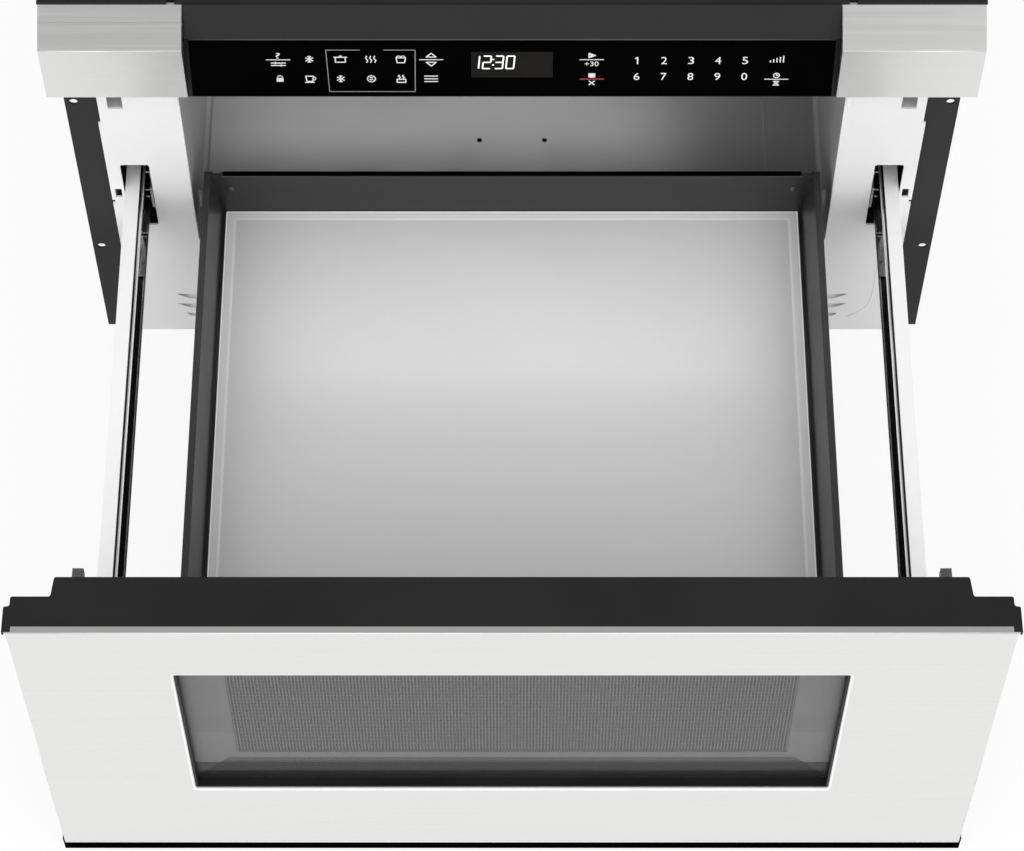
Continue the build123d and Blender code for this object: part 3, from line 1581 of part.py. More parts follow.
def latch_housing(side):
    """Open-fronted catch box with a guide for the plunger and arms for the switch."""
    shell = block(latch_slot_inner - latch_wall, latch_outer + latch_wall, plate_rear,
                  latch_back + latch_wall, latch_slot_bottom - latch_wall,
                  latch_high + latch_wall)
    shell -= block(latch_slot_inner, latch_outer, plate_rear - through, latch_back,
                   latch_slot_bottom, latch_high)
    for x in (latch_slot_inner - latch_wall, latch_outer):
        shell += block(x, x + latch_wall, latch_back, switch_rear, switch_low, switch_high)
    shell -= square_bar(plunger_half + plunger_clearance, latch_back - through,
                        latch_back + latch_wall + through)
    return at_side(shell, side)


def latch_plunger(side):
    """Sprung pin that the hook pushes to close the door switch."""
    head_rear = plunger_front + plunger_head
    pin = square_bar(plunger_head_half, plunger_front, head_rear)
    pin += square_bar(plunger_half, head_rear, plunger_rear)
    return at_side(pin, side)


def door_switch(side):
    body = block(latch_slot_inner, latch_outer, switch_front, switch_rear, switch_low,
                 switch_high)
    for step in (-1, 0, 1):
        z = plunger_z + step * switch_blade_pitch
        body += block(latch_mid - switch_blade_half, latch_mid + switch_blade_half, switch_rear,
                      switch_rear + switch_blade_length, z - switch_blade_sheet / 2,
                      z + switch_blade_sheet / 2)
    return at_side(body, side)


# ---------------------------------------------------------------- assembly
keep("front_plate", front_plate())
keep("louvre_blades", louvre_blades())
keep("top_cover", top_cover())
keep("base_pan", base_pan())
keep("back_panel", back_panel())
keep("back_screws", back_screws())
keep("cord_grommet", cord_grommet())
keep("control_housing", control_housing())
keep("control_glass", control_glass())
keep("display_lens", display_lens())
keep("control_board", control_board())
keep("top_trim", top_trim())
keep("cavity_box", cavity_box())
keep("waveguide_cover", waveguide_cover())
keep("waveguide", waveguide())
keep("stirrer", stirrer())
keep("stirrer_motor", stirrer_motor())
keep("magnetron", magnetron())
keep("transformer", transformer())
keep("capacitor", capacitor())
keep("power_board", circuit(power_board_box, power_board_parts))
keep("line_filter", line_filter())
keep("cavity_lamp", lamp())
keep("fan_shroud", fan_shroud())
keep("fan_motor", fan_motor())
keep("fan_wheel", fan_wheel())
keep("air_duct", air_duct())
keep("gear_motor", gear_motor())
keep("drive_pinion", drive_pinion())
keep("drive_rack", drive_rack())
keep("door_frame", door_frame())
keep("door_skin", door_skin())
keep("door_glass", door_glass())
keep("choke_panel", choke_panel())
keep("shield_screen", shield_screen())
keep("choke_cover", choke_cover())
keep("rear_window", rear_window())
keep("door_bottom_trim", door_bottom_trim())
keep("tray_frame", tray_frame())
keep("ceramic_plate", ceramic_plate())
for side_name, side_sign in SIDES:
    keep("side_panel_" + side_name, side_panel(side_sign))
    keep("mounting_flange_" + side_name, mounting_flange(side_sign))
    keep("control_wing_" + side_name, wing(side_sign))
    keep("slide_bracket_" + side_name, slide_bracket(side_sign))
    keep("latch_plunger_" + side_name, latch_plunger(side_sign))
keep("slide_supports", Compound([slide_support(side) for _, side in SIDES]))
keep("slide_fixed_members", Compound([fixed_member(side) for _, side in SIDES]))
keep("slide_middle_members", Compound([middle_member(side) for _, side in SIDES]))
keep("slide_drawer_members", Compound([drawer_member(side) for _, side in SIDES]))
keep("latch_housings", Compound([latch_housing(side) for _, side in SIDES]))
keep("latch_hooks", Compound([latch_hook(side) for _, side in SIDES]))
keep("door_switches", Compound([door_switch(side) for _, side in SIDES]))
keep("inner_ball_cages", Compound([
    ball_cage(side, inner_cage_level, inner_cage_web, plate_front + inner_cage_setback)
    for _, side in SIDES]))
keep("outer_ball_cages", Compound([
    ball_cage(side, outer_cage_level, outer_cage_web, plate_front - outer_cage_reach)
    for _, side in SIDES]))

os.makedirs("parts", exist_ok=True)
for part_name, shape in PARTS.items():
    export_step(shape, os.path.join("parts", part_name + ".step"))
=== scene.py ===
"""Finishes, legends, small fittings and studio for the microwave drawer."""
from math import cos, pi, radians, sin

import bpy
import bmesh
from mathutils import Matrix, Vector


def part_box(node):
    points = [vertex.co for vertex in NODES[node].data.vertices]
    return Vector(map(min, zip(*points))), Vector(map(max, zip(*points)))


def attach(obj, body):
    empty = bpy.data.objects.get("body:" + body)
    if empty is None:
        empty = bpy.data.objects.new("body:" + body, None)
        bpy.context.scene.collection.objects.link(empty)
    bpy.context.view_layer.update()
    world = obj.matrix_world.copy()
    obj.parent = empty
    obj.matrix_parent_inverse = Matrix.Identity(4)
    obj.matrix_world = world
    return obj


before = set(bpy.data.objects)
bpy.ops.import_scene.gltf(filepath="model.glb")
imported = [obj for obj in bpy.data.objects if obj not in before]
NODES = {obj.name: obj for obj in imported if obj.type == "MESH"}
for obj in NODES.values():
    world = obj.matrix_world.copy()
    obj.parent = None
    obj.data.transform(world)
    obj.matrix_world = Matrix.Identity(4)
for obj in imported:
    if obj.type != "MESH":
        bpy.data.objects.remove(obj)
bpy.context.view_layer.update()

MM = 0.001                        # lengths below are in millimetres unless they say metres

# The photograph's camera, solved from the object's straight edges.
IMAGE_WIDTH_PX = 1024
FOCAL_PX = 3270.64
SENSOR_MM = 36.0
CAMERA_PITCH = 59.6466            # degrees below the horizon
CAMERA_PLACE = (0.0, -1.357, 2.06288)


def box_mm(node):
    """Lowest and highest corner of a CAD node at rest."""
    low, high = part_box(node)
    return low / MM, high / MM


WING_LOW, WING_HIGH = box_mm("control_wing_right")
SKIN_LOW, SKIN_HIGH = box_mm("door_skin")
PLATE_LOW, PLATE_HIGH = box_mm("front_plate")
CERAMIC_LOW, CERAMIC_HIGH = box_mm("ceramic_plate")
TRAY_TOP = box_mm("tray_frame")[1].z
HOUSING_HALF = box_mm("control_housing")[1].x

WINDOW_HALF = 206.8               # the skin's window
WINDOW_BOTTOM = 101.7
WINDOW_TOP = 272.3
WINDOW_CORNER = 2.6
OVEN_HALF = 222.4                 # oven opening's half width
OVEN_FLOOR = 120.0
GLASS_TILT = radians(13.5)
GLASS_SETBACK = 0.6               # glass behind the wings' front at its lower edge
DISPLAY_DEPTH = 0.1               # display window behind the glass's front
RACE_FACE = 255.7                 # open side of the drawer slide members

FRONT = (0, -1, 0)
UP_AXIS = (0, 0, 1)

# Finish measures, in metres or per metre.
GRAIN_ACROSS = 900.0              # brushing lines per metre
GRAIN_ALONG = 5.0
GRAIN_DEPTH = 0.0002
PEEL_SCALE = 350.0                # orange peel of paint
PEEL_DEPTH = 0.0004
CLOUD_SCALE = 9.0                 # broad, faint unevenness
NOISE_LOW, NOISE_HIGH = 0.3, 0.7  # most noise values lie between these
MIX_A, MIX_B, MIX_RESULT = 6, 7, 2   # colour sockets of the mix node

# Studio, in metres and watts.
OBJECT_MIDDLE = (0, -0.1, 0.2)
SOFTBOX = 2.8                     # side of the two large lamps
SKY_STRENGTH = 0.95
OVERHEAD = 0.38                   # mirrored sky straight above
FLOOR_LEVEL = 0.92
FLOOR_SHARE = 0.86                # how far the floor is plain white to the camera
FLOOR_SIZE = 16.0
FLOOR_DROP = 0.0005


# ---------------------------------------------------------------- shader helpers
class Shader:
    """One material and its node tree, with short calls for the nodes used here."""

    def __init__(self, name):
        self.material = bpy.data.materials.new(name)
        self.material.use_nodes = True
        self.tree = self.material.node_tree
        self.tree.nodes.clear()
        self.output = self.node("ShaderNodeOutputMaterial")
        self.surface = self.node("ShaderNodeBsdfPrincipled")
        self.link(self.surface.outputs[0], self.output.inputs["Surface"])
        self.coordinates = self.node("ShaderNodeTexCoord").outputs["Object"]

    def node(self, kind, **settings):
        """A new node of a kind, with its settings."""
        made = self.tree.nodes.new(kind)
        for key, value in settings.items():
            setattr(made, key, value)
        return made

    def link(self, source, target):
        self.tree.links.new(source, target)

    def set(self, **values):
        """Constant values on the surface's own sockets."""
        for key, value in values.items():
            label = key.replace("_", " ").title().replace("Ior", "IOR")
            self.surface.inputs[label].default_value = value

    def stretched(self, scale):
        """The object's coordinates, scaled along each axis."""
        mapping = self.node("ShaderNodeMapping")
        mapping.inputs["Scale"].default_value = scale
        self.link(self.coordinates, mapping.inputs["Vector"])
        return mapping.outputs["Vector"]

    def noise(self, scale, detail=3.0, stretch=(1, 1, 1)):
        """Noise between 0 and 1."""
        texture = self.node("ShaderNodeTexNoise")
        texture.inputs["Scale"].default_value = scale
        texture.inputs["Detail"].default_value = detail
        self.link(self.stretched(stretch), texture.inputs["Vector"])
        return texture.outputs["Fac"]

    def ramp(self, value, low, high, start=NOISE_LOW, end=NOISE_HIGH):
        """Map a 0 to 1 value between two colours."""
        ramp = self.node("ShaderNodeValToRGB")
        ramp.color_ramp.elements[0].position = start
        ramp.color_ramp.elements[1].position = end
        ramp.color_ramp.elements[0].color = (*low, 1)
        ramp.color_ramp.elements[1].color = (*high, 1)
        self.link(value, ramp.inputs["Fac"])
        return ramp.outputs["Color"]

    def spread(self, value, low, high):
        """Map a 0 to 1 value between two numbers."""
        mapped = self.node("ShaderNodeMapRange")
        mapped.inputs["From Min"].default_value = NOISE_LOW
        mapped.inputs["From Max"].default_value = NOISE_HIGH
        mapped.inputs["To Min"].default_value = low
        mapped.inputs["To Max"].default_value = high
        self.link(value, mapped.inputs["Value"])
        return mapped.outputs["Result"]

    def part_of(self, axis):
        """One coordinate, in millimetres."""
        split = self.node("ShaderNodeSeparateXYZ")
        self.link(self.coordinates, split.inputs[0])
        return self.maths("MULTIPLY", split.outputs[axis], 1 / MM)

    def maths(self, operation, first, second=None):
        """One operation on sockets or numbers."""
        made = self.node("ShaderNodeMath", operation=operation)
        for place, value in enumerate((first, second)):
            if isinstance(value, (int, float)):
                made.inputs[place].default_value = value
            elif value is not None:
                self.link(value, made.inputs[place])
        return made.outputs[0]

    def bands(self, value, span, stops):
        """Grey levels along a length of span millimetres, given as (place, level) stops."""
        ramp = self.node("ShaderNodeValToRGB")
        self.link(self.maths("DIVIDE", value, span), ramp.inputs["Fac"])
        marks = ramp.color_ramp.elements
        while len(marks) < len(stops):
            marks.new(0.5)
        for mark, (place, _) in zip(marks, stops):
            mark.position = place / span
        for mark, (_, level) in zip(marks, stops):
            mark.color = (level, level, level, 1)
        return ramp.outputs["Color"]

    def mix(self, blend, first, second):
        """Two colours, mixed in full."""
        mixed = self.node("ShaderNodeMix", data_type="RGBA", blend_type=blend)
        mixed.inputs["Factor"].default_value = 1.0
        self.link(first, mixed.inputs[MIX_A])
        self.link(second, mixed.inputs[MIX_B])
        return mixed.outputs[MIX_RESULT]

    def bump(self, value, strength, distance):
        """Small relief in the finish, distance in metres."""
        bump = self.node("ShaderNodeBump")
        bump.inputs["Strength"].default_value = strength
        bump.inputs["Distance"].default_value = distance
        self.link(value, bump.inputs["Height"])
        self.link(bump.outputs["Normal"], self.surface.inputs["Normal"])

    def colour(self, low, high, value):
        """Base colour between two colours."""
        self.link(self.ramp(value, low, high), self.surface.inputs["Base Color"])

    def rough(self, low, high, value):
        """Roughness between two numbers."""
        self.link(self.spread(value, low, high), self.surface.inputs["Roughness"])


def grey(level, tint=0.0):
    """Grey, warmer by its tint."""
    return (level * (1 + tint), level, level * (1 - tint))


def brushed(name, low, high, along, rough=(0.24, 0.40), bump=0.08):
    """Brushed metal whose grain runs along one axis."""
    s = Shader(name)
    s.set(metallic=1.0)
    stretch = [GRAIN_ACROSS] * 3
    stretch["XYZ".index(along)] = GRAIN_ALONG
    grain = s.noise(1.0, 4.0, stretch)
    s.colour(low, high, grain)
    s.rough(*rough, grain)
    s.bump(grain, bump, GRAIN_DEPTH)
    return s.material


def moulded(name, level, rough, bump=0.12, specular=0.5, tint=0.0):
    """Moulded plastic with a fine grain."""
    s = Shader(name)
    s.set(specular_ior_level=specular)
    grain = s.noise(2500.0, 2.0)
    wear_and_painted_shade = s.noise(14.0, 4.0)
    s.colour(grey(level * 0.88, tint), grey(level * 1.12, tint), wear_and_painted_shade)
    s.rough(rough - 0.05, rough + 0.07, wear_and_painted_shade)
    s.bump(grain, bump, GRAIN_DEPTH)
    return s.material


def enamel(name, level, rough, tint=0.0, spread=0.03, specular=0.5):
    """Painted or enamelled sheet with a faint orange-peel surface."""
    s = Shader(name)
    s.set(specular_ior_level=specular)
    peel = s.noise(PEEL_SCALE, 2.0)
    cloud = s.noise(CLOUD_SCALE, 4.0)
    s.colour(grey(level * (1 - spread), tint), grey(level * (1 + spread), tint), cloud)
    s.rough(rough - 0.04, rough + 0.05, cloud)
    s.bump(peel, 0.05, PEEL_DEPTH)
    return s.material


def printed(name, low, high):
    """Ink printed on the glass."""
    s = Shader(name)
    s.set(roughness=0.5)
    s.colour(low, high, s.noise(300.0))
    return s.material


def galvanised(name, low, high):
    """Zinc-coated sheet with its spangle."""
    s = Shader(name)
    s.set(metallic=0.75)
    cells = s.node("ShaderNodeTexVoronoi")
    cells.inputs["Scale"].default_value = 130.0
    s.link(s.coordinates, cells.inputs["Vector"])
    spangle = s.ramp(cells.outputs["Color"], grey(low), grey(high), 0.1, 0.9)
    s.link(spangle, s.surface.inputs["Base Color"])
    s.rough(0.42, 0.55, s.noise(60.0, 3.0))
    return s.material


def clear_glass(name, tint, rough, alpha):
    """Tinted glass, seen through as far as its alpha lets."""
    s = Shader(name)
    s.set(roughness=rough, alpha=alpha, ior=1.5, specular_ior_level=0.35)
    smear = s.noise(7.0, 4.0)
    s.colour(grey(tint * 0.9), grey(tint * 1.1), smear)
    return s.material


def perforated(name, metal, hole, pitch):
    """Sheet with rows of small round holes, as dark dots in its finish."""
    s = Shader(name)
    s.set(metallic=0.2, roughness=0.5)
    scaled = s.stretched((1 / pitch, 1 / pitch, 1 / pitch))
    cell = s.node("ShaderNodeVectorMath", operation="FRACTION")
    s.link(scaled, cell.inputs[0])
    middle = s.node("ShaderNodeVectorMath", operation="SUBTRACT")
    middle.inputs[1].default_value = (0.5, 0.5, 0.5)
    s.link(cell.outputs[0], middle.inputs[0])
    flat = s.node("ShaderNodeVectorMath", operation="MULTIPLY")
    flat.inputs[1].default_value = (1.0, 0.0, 1.0)
    s.link(middle.outputs[0], flat.inputs[0])
    length = s.node("ShaderNodeVectorMath", operation="LENGTH")
    s.link(flat.outputs[0], length.inputs[0])
    dots = s.ramp(length.outputs["Value"], grey(hole), grey(metal), 0.34, 0.42)
    s.link(dots, s.surface.inputs["Base Color"])
    return s.material


def circuit(name):
    """Circuit board with its tracks."""
    s = Shader(name)
    s.set(roughness=0.45)
    cells = s.node("ShaderNodeTexBrick")
    cells.inputs["Scale"].default_value = 180.0
    s.link(s.coordinates, cells.inputs["Vector"])
    cells.inputs["Color1"].default_value = (0.02, 0.16, 0.06, 1)
    cells.inputs["Color2"].default_value = (0.03, 0.2, 0.08, 1)
    cells.inputs["Mortar"].default_value = (0.05, 0.28, 0.12, 1)
    s.link(cells.outputs["Color"], s.surface.inputs["Base Color"])
    return s.material


def glazed(name, field, edge, line, border):
    """Glass-ceramic plate: a painted highlight along its edge, a paler border, and a line inside it
    that is lighter as a painted highlight on the raised line.
    """
    s = Shader(name)
    s.set(roughness=0.3, specular_ior_level=0.3)
    middle = (CERAMIC_LOW + CERAMIC_HIGH) / 2
    half = (CERAMIC_HIGH - CERAMIC_LOW) / 2
    insets = []
    for axis in (0, 1):
        offset = s.maths("SUBTRACT", s.part_of(axis), middle[axis])
        insets.append(s.maths("SUBTRACT", half[axis], s.maths("ABSOLUTE", offset)))
    inset = s.maths("MINIMUM", *insets)
    # The edge level is a painted highlight along the plate's edge; the line level is a painted
    # highlight on the raised line.
    zones = s.bands(inset, 12.0, [(0.0, edge), (0.7, edge), (1.0, border), (5.4, border),
                                  (5.7, line), (7.1, line), (7.5, field), (11.0, field)])
    cloud = s.ramp(s.noise(6.0, 4.0), grey(0.97), grey(1.0))
    s.link(s.mix("MULTIPLY", zones, cloud), s.surface.inputs["Base Color"])
    s.bump(s.noise(420.0, 2.0), 0.02, PEEL_DEPTH)
    return s.material


def oven_coat(name, floor, walls):
    """Satin oven coating, darker on the floor, with painted shade on the floor that is darkest at
    the mouth.
    """
    s = Shader(name)
    s.set(metallic=0.25)
    height = s.maths("SUBTRACT", s.part_of(2), OVEN_FLOOR)
    zones = s.bands(height, 8.0, [(0.0, floor), (0.6, floor), (2.0, walls), (7.9, walls)])
    # Painted shade on the floor, darkest at the mouth and gone 95 mm in; the walls are kept out of
    # it.
    depth = s.maths("SUBTRACT", s.part_of(1), PLATE_LOW.y)
    painted_mouth_shade = s.bands(depth, 100.0, [(0.0, 0.45), (20.0, 0.5), (55.0, 0.8), (95.0, 1.0)])
    unshaded_walls = s.bands(height, 8.0, [(0.0, 0.0), (0.6, 0.0), (2.0, 1.0), (7.9, 1.0)])
    wear_and_painted_shade = s.mix("LIGHTEN", painted_mouth_shade, unshaded_walls)
    cloud = s.noise(CLOUD_SCALE, 4.0)
    coat = s.mix("MULTIPLY", zones, wear_and_painted_shade)
    coat = s.mix("MULTIPLY", coat, s.ramp(cloud, grey(0.95), grey(1.0)))
    s.link(coat, s.surface.inputs["Base Color"])
    s.rough(0.32, 0.42, cloud)
    s.bump(s.noise(PEEL_SCALE, 2.0), 0.05, PEEL_DEPTH)
    return s.material


def raceway(name):
    """Bright slide steel, with painted shade inside the race and a painted highlight band just in
    from its open side.
    """
    s = Shader(name)
    s.set(metallic=0.9)
    sideways = s.maths("ABSOLUTE", s.part_of(0))
    inward = s.maths("SUBTRACT", sideways, RACE_FACE)
    # Painted light across the race: a painted highlight band 0.5 to 1.3 mm in from the open side,
    # painted shade elsewhere.
    painted_highlight_and_shade = s.bands(inward, 8.0, [(0.0, 0.04), (0.25, 0.05), (0.5, 0.55), (1.3, 0.9),
                                    (1.7, 0.03), (3.0, 0.05), (7.9, 0.02)])
    grain = s.noise(1.0, 4.0, (GRAIN_ACROSS, GRAIN_ALONG, GRAIN_ACROSS))
    streaks = s.ramp(grain, grey(0.85), grey(1.0))
    s.link(s.mix("MULTIPLY", painted_highlight_and_shade, streaks), s.surface.inputs["Base Color"])
    s.rough(0.16, 0.3, grain)
    return s.material


def glow(name, colour, strength):
    """Lit segments."""
    s = Shader(name)
    s.set(emission_strength=strength, roughness=0.4)
    s.surface.inputs["Emission Color"].default_value = (*colour, 1)
    s.colour(grey(0.5), grey(0.6), s.noise(300.0))
    return s.material


stainless = brushed("stainless_brushed", grey(0.78, 0.006), grey(0.81, 0.006), "X",
                    (0.27, 0.36), 0.03)
# Brighter copy of the brushed steel: a painted highlight on the skin's and wings' edges and beside
# the window.
painted_highlight_steel = brushed("steel_painted_highlight", grey(0.93), grey(0.97), "X", (0.3, 0.4), 0.02)
black_plastic = moulded("black_moulding", 0.012, 0.45, specular=0.25)
# Near-black with no gloss: on the door's bottom trim it is painted shade of the dark gap under the
# door.
black_trim_and_painted_shade = moulded("black_matt_and_painted_shade", 0.0008, 0.6, bump=0.05, specular=0.0)
# Lighter black: a painted highlight along the housing's edge above the glass.
painted_highlight_black = moulded("black_painted_highlight", 0.06, 0.35, specular=0.4)
touch_glass = moulded("touch_glass_black", 0.0012, 0.1, bump=0.0, specular=0.02)
window_glass = clear_glass("window_glass_tinted", tint=0.05, rough=0.06, alpha=0.35)
rear_glass = clear_glass("rear_glass_dark", tint=0.02, rough=0.1, alpha=0.85)
screen = perforated("screen_perforated", metal=0.64, hole=0.08, pitch=0.0021)
white_enamel = enamel("white_enamel", 0.88, 0.38)
flange_grey = enamel("flange_grey", 0.025, 0.42, specular=0.1)
zinc = galvanised("zinc_spangle", low=0.46, high=0.54)
oven_grey = oven_coat("oven_grey", floor=0.33, walls=0.55)
tray_grey = enamel("tray_grey", 0.031, 0.34, specular=0.35)
ceramic = glazed("ceramic_satin", field=0.57, edge=0.95, line=0.77, border=0.68)
chrome = brushed("slide_zinc", grey(0.62), grey(0.74), "Y", (0.12, 0.25))
race_steel = raceway("slide_race_steel")
white_bracket = enamel("bracket_white", 0.88, 0.35)
gear_white = moulded("gear_ivory", 0.62, 0.45, tint=0.03)
gear_grey = moulded("housing_grey", 0.16, 0.5)
latch_grey = moulded("latch_grey", 0.5, 0.5)
hook_black = moulded("hook_black", 0.08, 0.4)
switch_black = moulded("switch_black", 0.04, 0.5)
plunger_grey = enamel("plunger_grey", 0.22, 0.4)
display_olive = moulded("display_olive", 0.014, 0.2, bump=0.0, specular=0.15, tint=0.06)
board_green = circuit("board_green")
iron_core = brushed("iron_laminations", grey(0.10), grey(0.2), "X", (0.5, 0.7))
can_metal = brushed("can_aluminium", grey(0.62), grey(0.72), "Z", (0.3, 0.45))
mica = enamel("cover_mica", 0.42, 0.45, tint=0.08)
fan_black = moulded("fan_black", 0.035, 0.45)
screw_zinc = brushed("screw_zinc", grey(0.6), grey(0.72), "Z", (0.2, 0.35))
rubber = moulded("rubber_black", 0.03, 0.75)
print_white = moulded("legend_white", 0.86, 0.5, bump=0.02)
print_grey = moulded("legend_grey", 0.32, 0.5, bump=0.02)
print_red = printed("legend_red", (0.42, 0.03, 0.06), (0.5, 0.05, 0.08))
lit_segments = glow("display_segments_lit", (1.0, 1.0, 1.0), 0.85)
# Glossy white: the bumper pads' own white, and a painted highlight on the beads of the window, the
# oven opening and the slides.
white_and_painted_highlight = enamel("white_gloss_and_painted_highlight", 0.9, 0.3, spread=0.01)
nylon = moulded("button_nylon", 0.66, 0.45, tint=0.01)
rivet_grey = enamel("rivet_grey", 0.07, 0.2)

FINISHES = {
    stainless: ("control_wing_left", "control_wing_right", "door_skin"),
    black_plastic: ("control_housing", "top_trim", "door_frame", "choke_cover"),
    # The door's bottom trim strip, near-black as painted shade of the gap under the door.
    black_trim_and_painted_shade: ("door_bottom_trim",),
    touch_glass: ("control_glass",),
    display_olive: ("display_lens",),
    window_glass: ("door_glass",),
    rear_glass: ("rear_window",),
    screen: ("shield_screen",),
    white_enamel: ("front_plate", "louvre_blades"),
    flange_grey: ("mounting_flange_left", "mounting_flange_right"),
    zinc: ("side_panel_left", "side_panel_right", "top_cover", "base_pan", "back_panel",
           "waveguide", "slide_supports"),
    oven_grey: ("cavity_box", "choke_panel"),
    tray_grey: ("tray_frame",),
    ceramic: ("ceramic_plate",),
    chrome: ("slide_fixed_members", "slide_middle_members", "inner_ball_cages",
             "outer_ball_cages"),
    # The drawer members carry painted highlight and painted shade bands across their open side.
    race_steel: ("slide_drawer_members",),
    white_bracket: ("slide_bracket_left", "slide_bracket_right"),
    gear_white: ("drive_pinion", "drive_rack"),
    gear_grey: ("gear_motor", "air_duct"),
    hook_black: ("latch_hooks",),
    latch_grey: ("latch_housings",),
    switch_black: ("door_switches",),
    plunger_grey: ("latch_plunger_left", "latch_plunger_right"),
    board_green: ("control_board", "power_board", "line_filter"),
    iron_core: ("transformer",),
    can_metal: ("stirrer", "stirrer_motor", "magnetron", "capacitor", "fan_motor"),
    mica: ("waveguide_cover", "cavity_lamp"),
    fan_black: ("fan_shroud", "fan_wheel"),
    screw_zinc: ("back_screws",),
    rubber: ("cord_grommet",),
}


def dress():
    """Put the finishes on the part's own nodes."""
    for finish, names in FINISHES.items():
        for name in names:
            node = NODES[name]
            if not node.material_slots:
                node.data.materials.append(finish)
            for place in node.material_slots:
                place.link = "OBJECT"
                place.material = finish


dress()


# ---------------------------------------------------------------- mesh helpers
def piece(name, body, material, parts, smooth=False):
    """One object from (points, faces) parts; it rides on a body."""
    points, faces = [], []
    for part_points, part_faces in parts:
        start = len(points)
        points += [Vector(point) * MM for point in part_points]
        faces += [[start + corner for corner in face] for face in part_faces]
    mesh = bpy.data.meshes.new(name)
    mesh.from_pydata(points, [], faces)
    work = bmesh.new()
    work.from_mesh(mesh)
    bmesh.ops.recalc_face_normals(work, faces=work.faces)
    work.to_mesh(mesh)
    work.free()
    mesh.materials.append(material)
    mesh.polygons.foreach_set("use_smooth", [smooth] * len(mesh.polygons))
    made = bpy.data.objects.new(name, mesh)
    bpy.context.collection.objects.link(made)
    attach(made, body)


def loft(loops, closed=False):
    """Solid through loops of equally many points, with capped or joined ends."""
    count = len(loops[0])
    points = [point for loop in loops for point in loop]
    faces = []
    for i in range(len(loops) if closed else len(loops) - 1):
        near, far = i * count, (i + 1) % len(loops) * count
        for j in range(count):
            k = (j + 1) % count
            faces.append([near + j, near + k, far + k, far + j])
    if not closed:
        faces.append(list(range(count)))
        faces.append(list(range(len(points) - count, len(points))))
    return points, faces


def tube(path, radius, facing, sides=10):
    """Round bead along a path that lies across the facing direction."""
    path = [Vector(place) for place in path]
    facing = Vector(facing).normalized()
    loops = []
    for i, place in enumerate(path):
        along = path[min(i + 1, len(path) - 1)] - path[max(i - 1, 0)]
        side = along.cross(facing).normalized()
        loops.append([place + side * radius * cos(2 * pi * j / sides)
                      + facing * radius * sin(2 * pi * j / sides) for j in range(sides)])
    return loft(loops)


def rounded(half, low, high, radius, steps=4):
    """Outline of a rectangle with round corners, about the middle in its first axis."""
    outline = []
    for turn, (side, level) in enumerate(((1, low), (1, high), (-1, high), (-1, low))):
        centre = (side * (half - radius), level + radius if level == low else level - radius)
        for step in range(steps + 1):
            angle = pi / 2 * (turn - 1 + step / steps)
            outline.append((centre[0] + radius * cos(angle), centre[1] + radius * sin(angle)))
    return outline


def dome(centre, across, up, out, sides=24, rings=5):
    """Low dome: across and up are its half axes, out its height."""
    centre, across, up, out = (Vector(v) for v in (centre, across, up, out))
    loops = []
    for ring in range(rings):
        tilt = pi / 2 * ring / rings
        loops.append([centre + out * sin(tilt) + across * cos(tilt) * cos(2 * pi * j / sides)
                      + up * cos(tilt) * sin(2 * pi * j / sides) for j in range(sides)])
    return loft(loops)


# ---------------------------------------------------------------- edges of the sheet metal
def window_loops(profile):
    """The window's outline at each (inset, depth) of a profile."""
    loops = []
    for inset, depth in profile:
        outline = rounded(WINDOW_HALF - inset, WINDOW_BOTTOM + inset, WINDOW_TOP - inset,
                          WINDOW_CORNER - inset)
        loops.append([(x, SKIN_LOW.y + depth, z) for x, z in outline])
    return loops


def window_bead():
    """Rolled edge of the skin round the window, white as a painted highlight, and the band beside
    it in brighter steel as a painted highlight.
    """
    bead = [(-0.35, 0.0), (0.1, -0.1), (0.45, 0.2), (0.65, 0.8), (0.7, 2.25), (-0.2, 2.25)]
    piece("window_edge_bead", "drawer", white_and_painted_highlight,
          [loft(window_loops(bead), closed=True)], smooth=True)
    band = [(0.0, 0.3), (0.0, -0.1), (-0.9, -0.1), (-1.0, 0.3)]
    piece("window_edge_band", "drawer", painted_highlight_steel,
          [loft(window_loops(band), closed=True)])


def skin_beads():
    """Folded outer edges of the skin, in brighter steel as a painted highlight."""
    inset, sink, radius = 0.4, 0.35, 0.45
    y = SKIN_LOW.y + sink
    low, high, half = SKIN_LOW.z + inset, SKIN_HIGH.z - inset, SKIN_HIGH.x - inset
    lines = [[(-half, y, low), (half, y, low)], [(-half, y, high), (half, y, high)],
             [(-half, y, low), (-half, y, high)], [(half, y, low), (half, y, high)]]
    piece("skin_edge_beads", "drawer", painted_highlight_steel,
          [tube(line, radius, FRONT) for line in lines], smooth=True)


def wing_beads():
    """Crease and outer edge of the two wings, in brighter steel as a painted highlight."""
    crease_rise, end_inset, sink = 49.2, 0.3, 0.45
    crease_radius, edge_radius = 0.5, 0.4
    y, crease = WING_LOW.y + sink, WING_LOW.z + crease_rise
    parts = []
    for side in (-1, 1):
        inner, outer = side * (WING_LOW.x + end_inset), side * (WING_HIGH.x - end_inset)
        parts.append(tube([(inner, y, crease), (outer, y, crease)], crease_radius, FRONT))
        parts.append(tube([(outer, y, WING_LOW.z + 0.5), (outer, y, crease)], edge_radius, FRONT))
    piece("wing_edge_beads", "chassis", painted_highlight_steel, parts, smooth=True)


def housing_beads():
    """Edge of the black housing above the glass, lighter as a painted highlight."""
    end_inset, below_top, sink, lift, radius = 3.5, 1.0, 0.2, 1.2, 0.5
    half = HOUSING_HALF - end_inset
    face = Vector((0, -cos(GLASS_TILT), sin(GLASS_TILT)))
    glass_low, glass_high = box_mm("control_glass")
    glass_rise = (glass_high.z - glass_low.z) / cos(GLASS_TILT)
    _, y, z = on_glass(0, glass_rise - below_top, sink)
    line = [(-half, y, z + lift), (half, y, z + lift)]
    piece("housing_edge_bead", "chassis", painted_highlight_black,
          [tube(line, radius, face)], smooth=True)


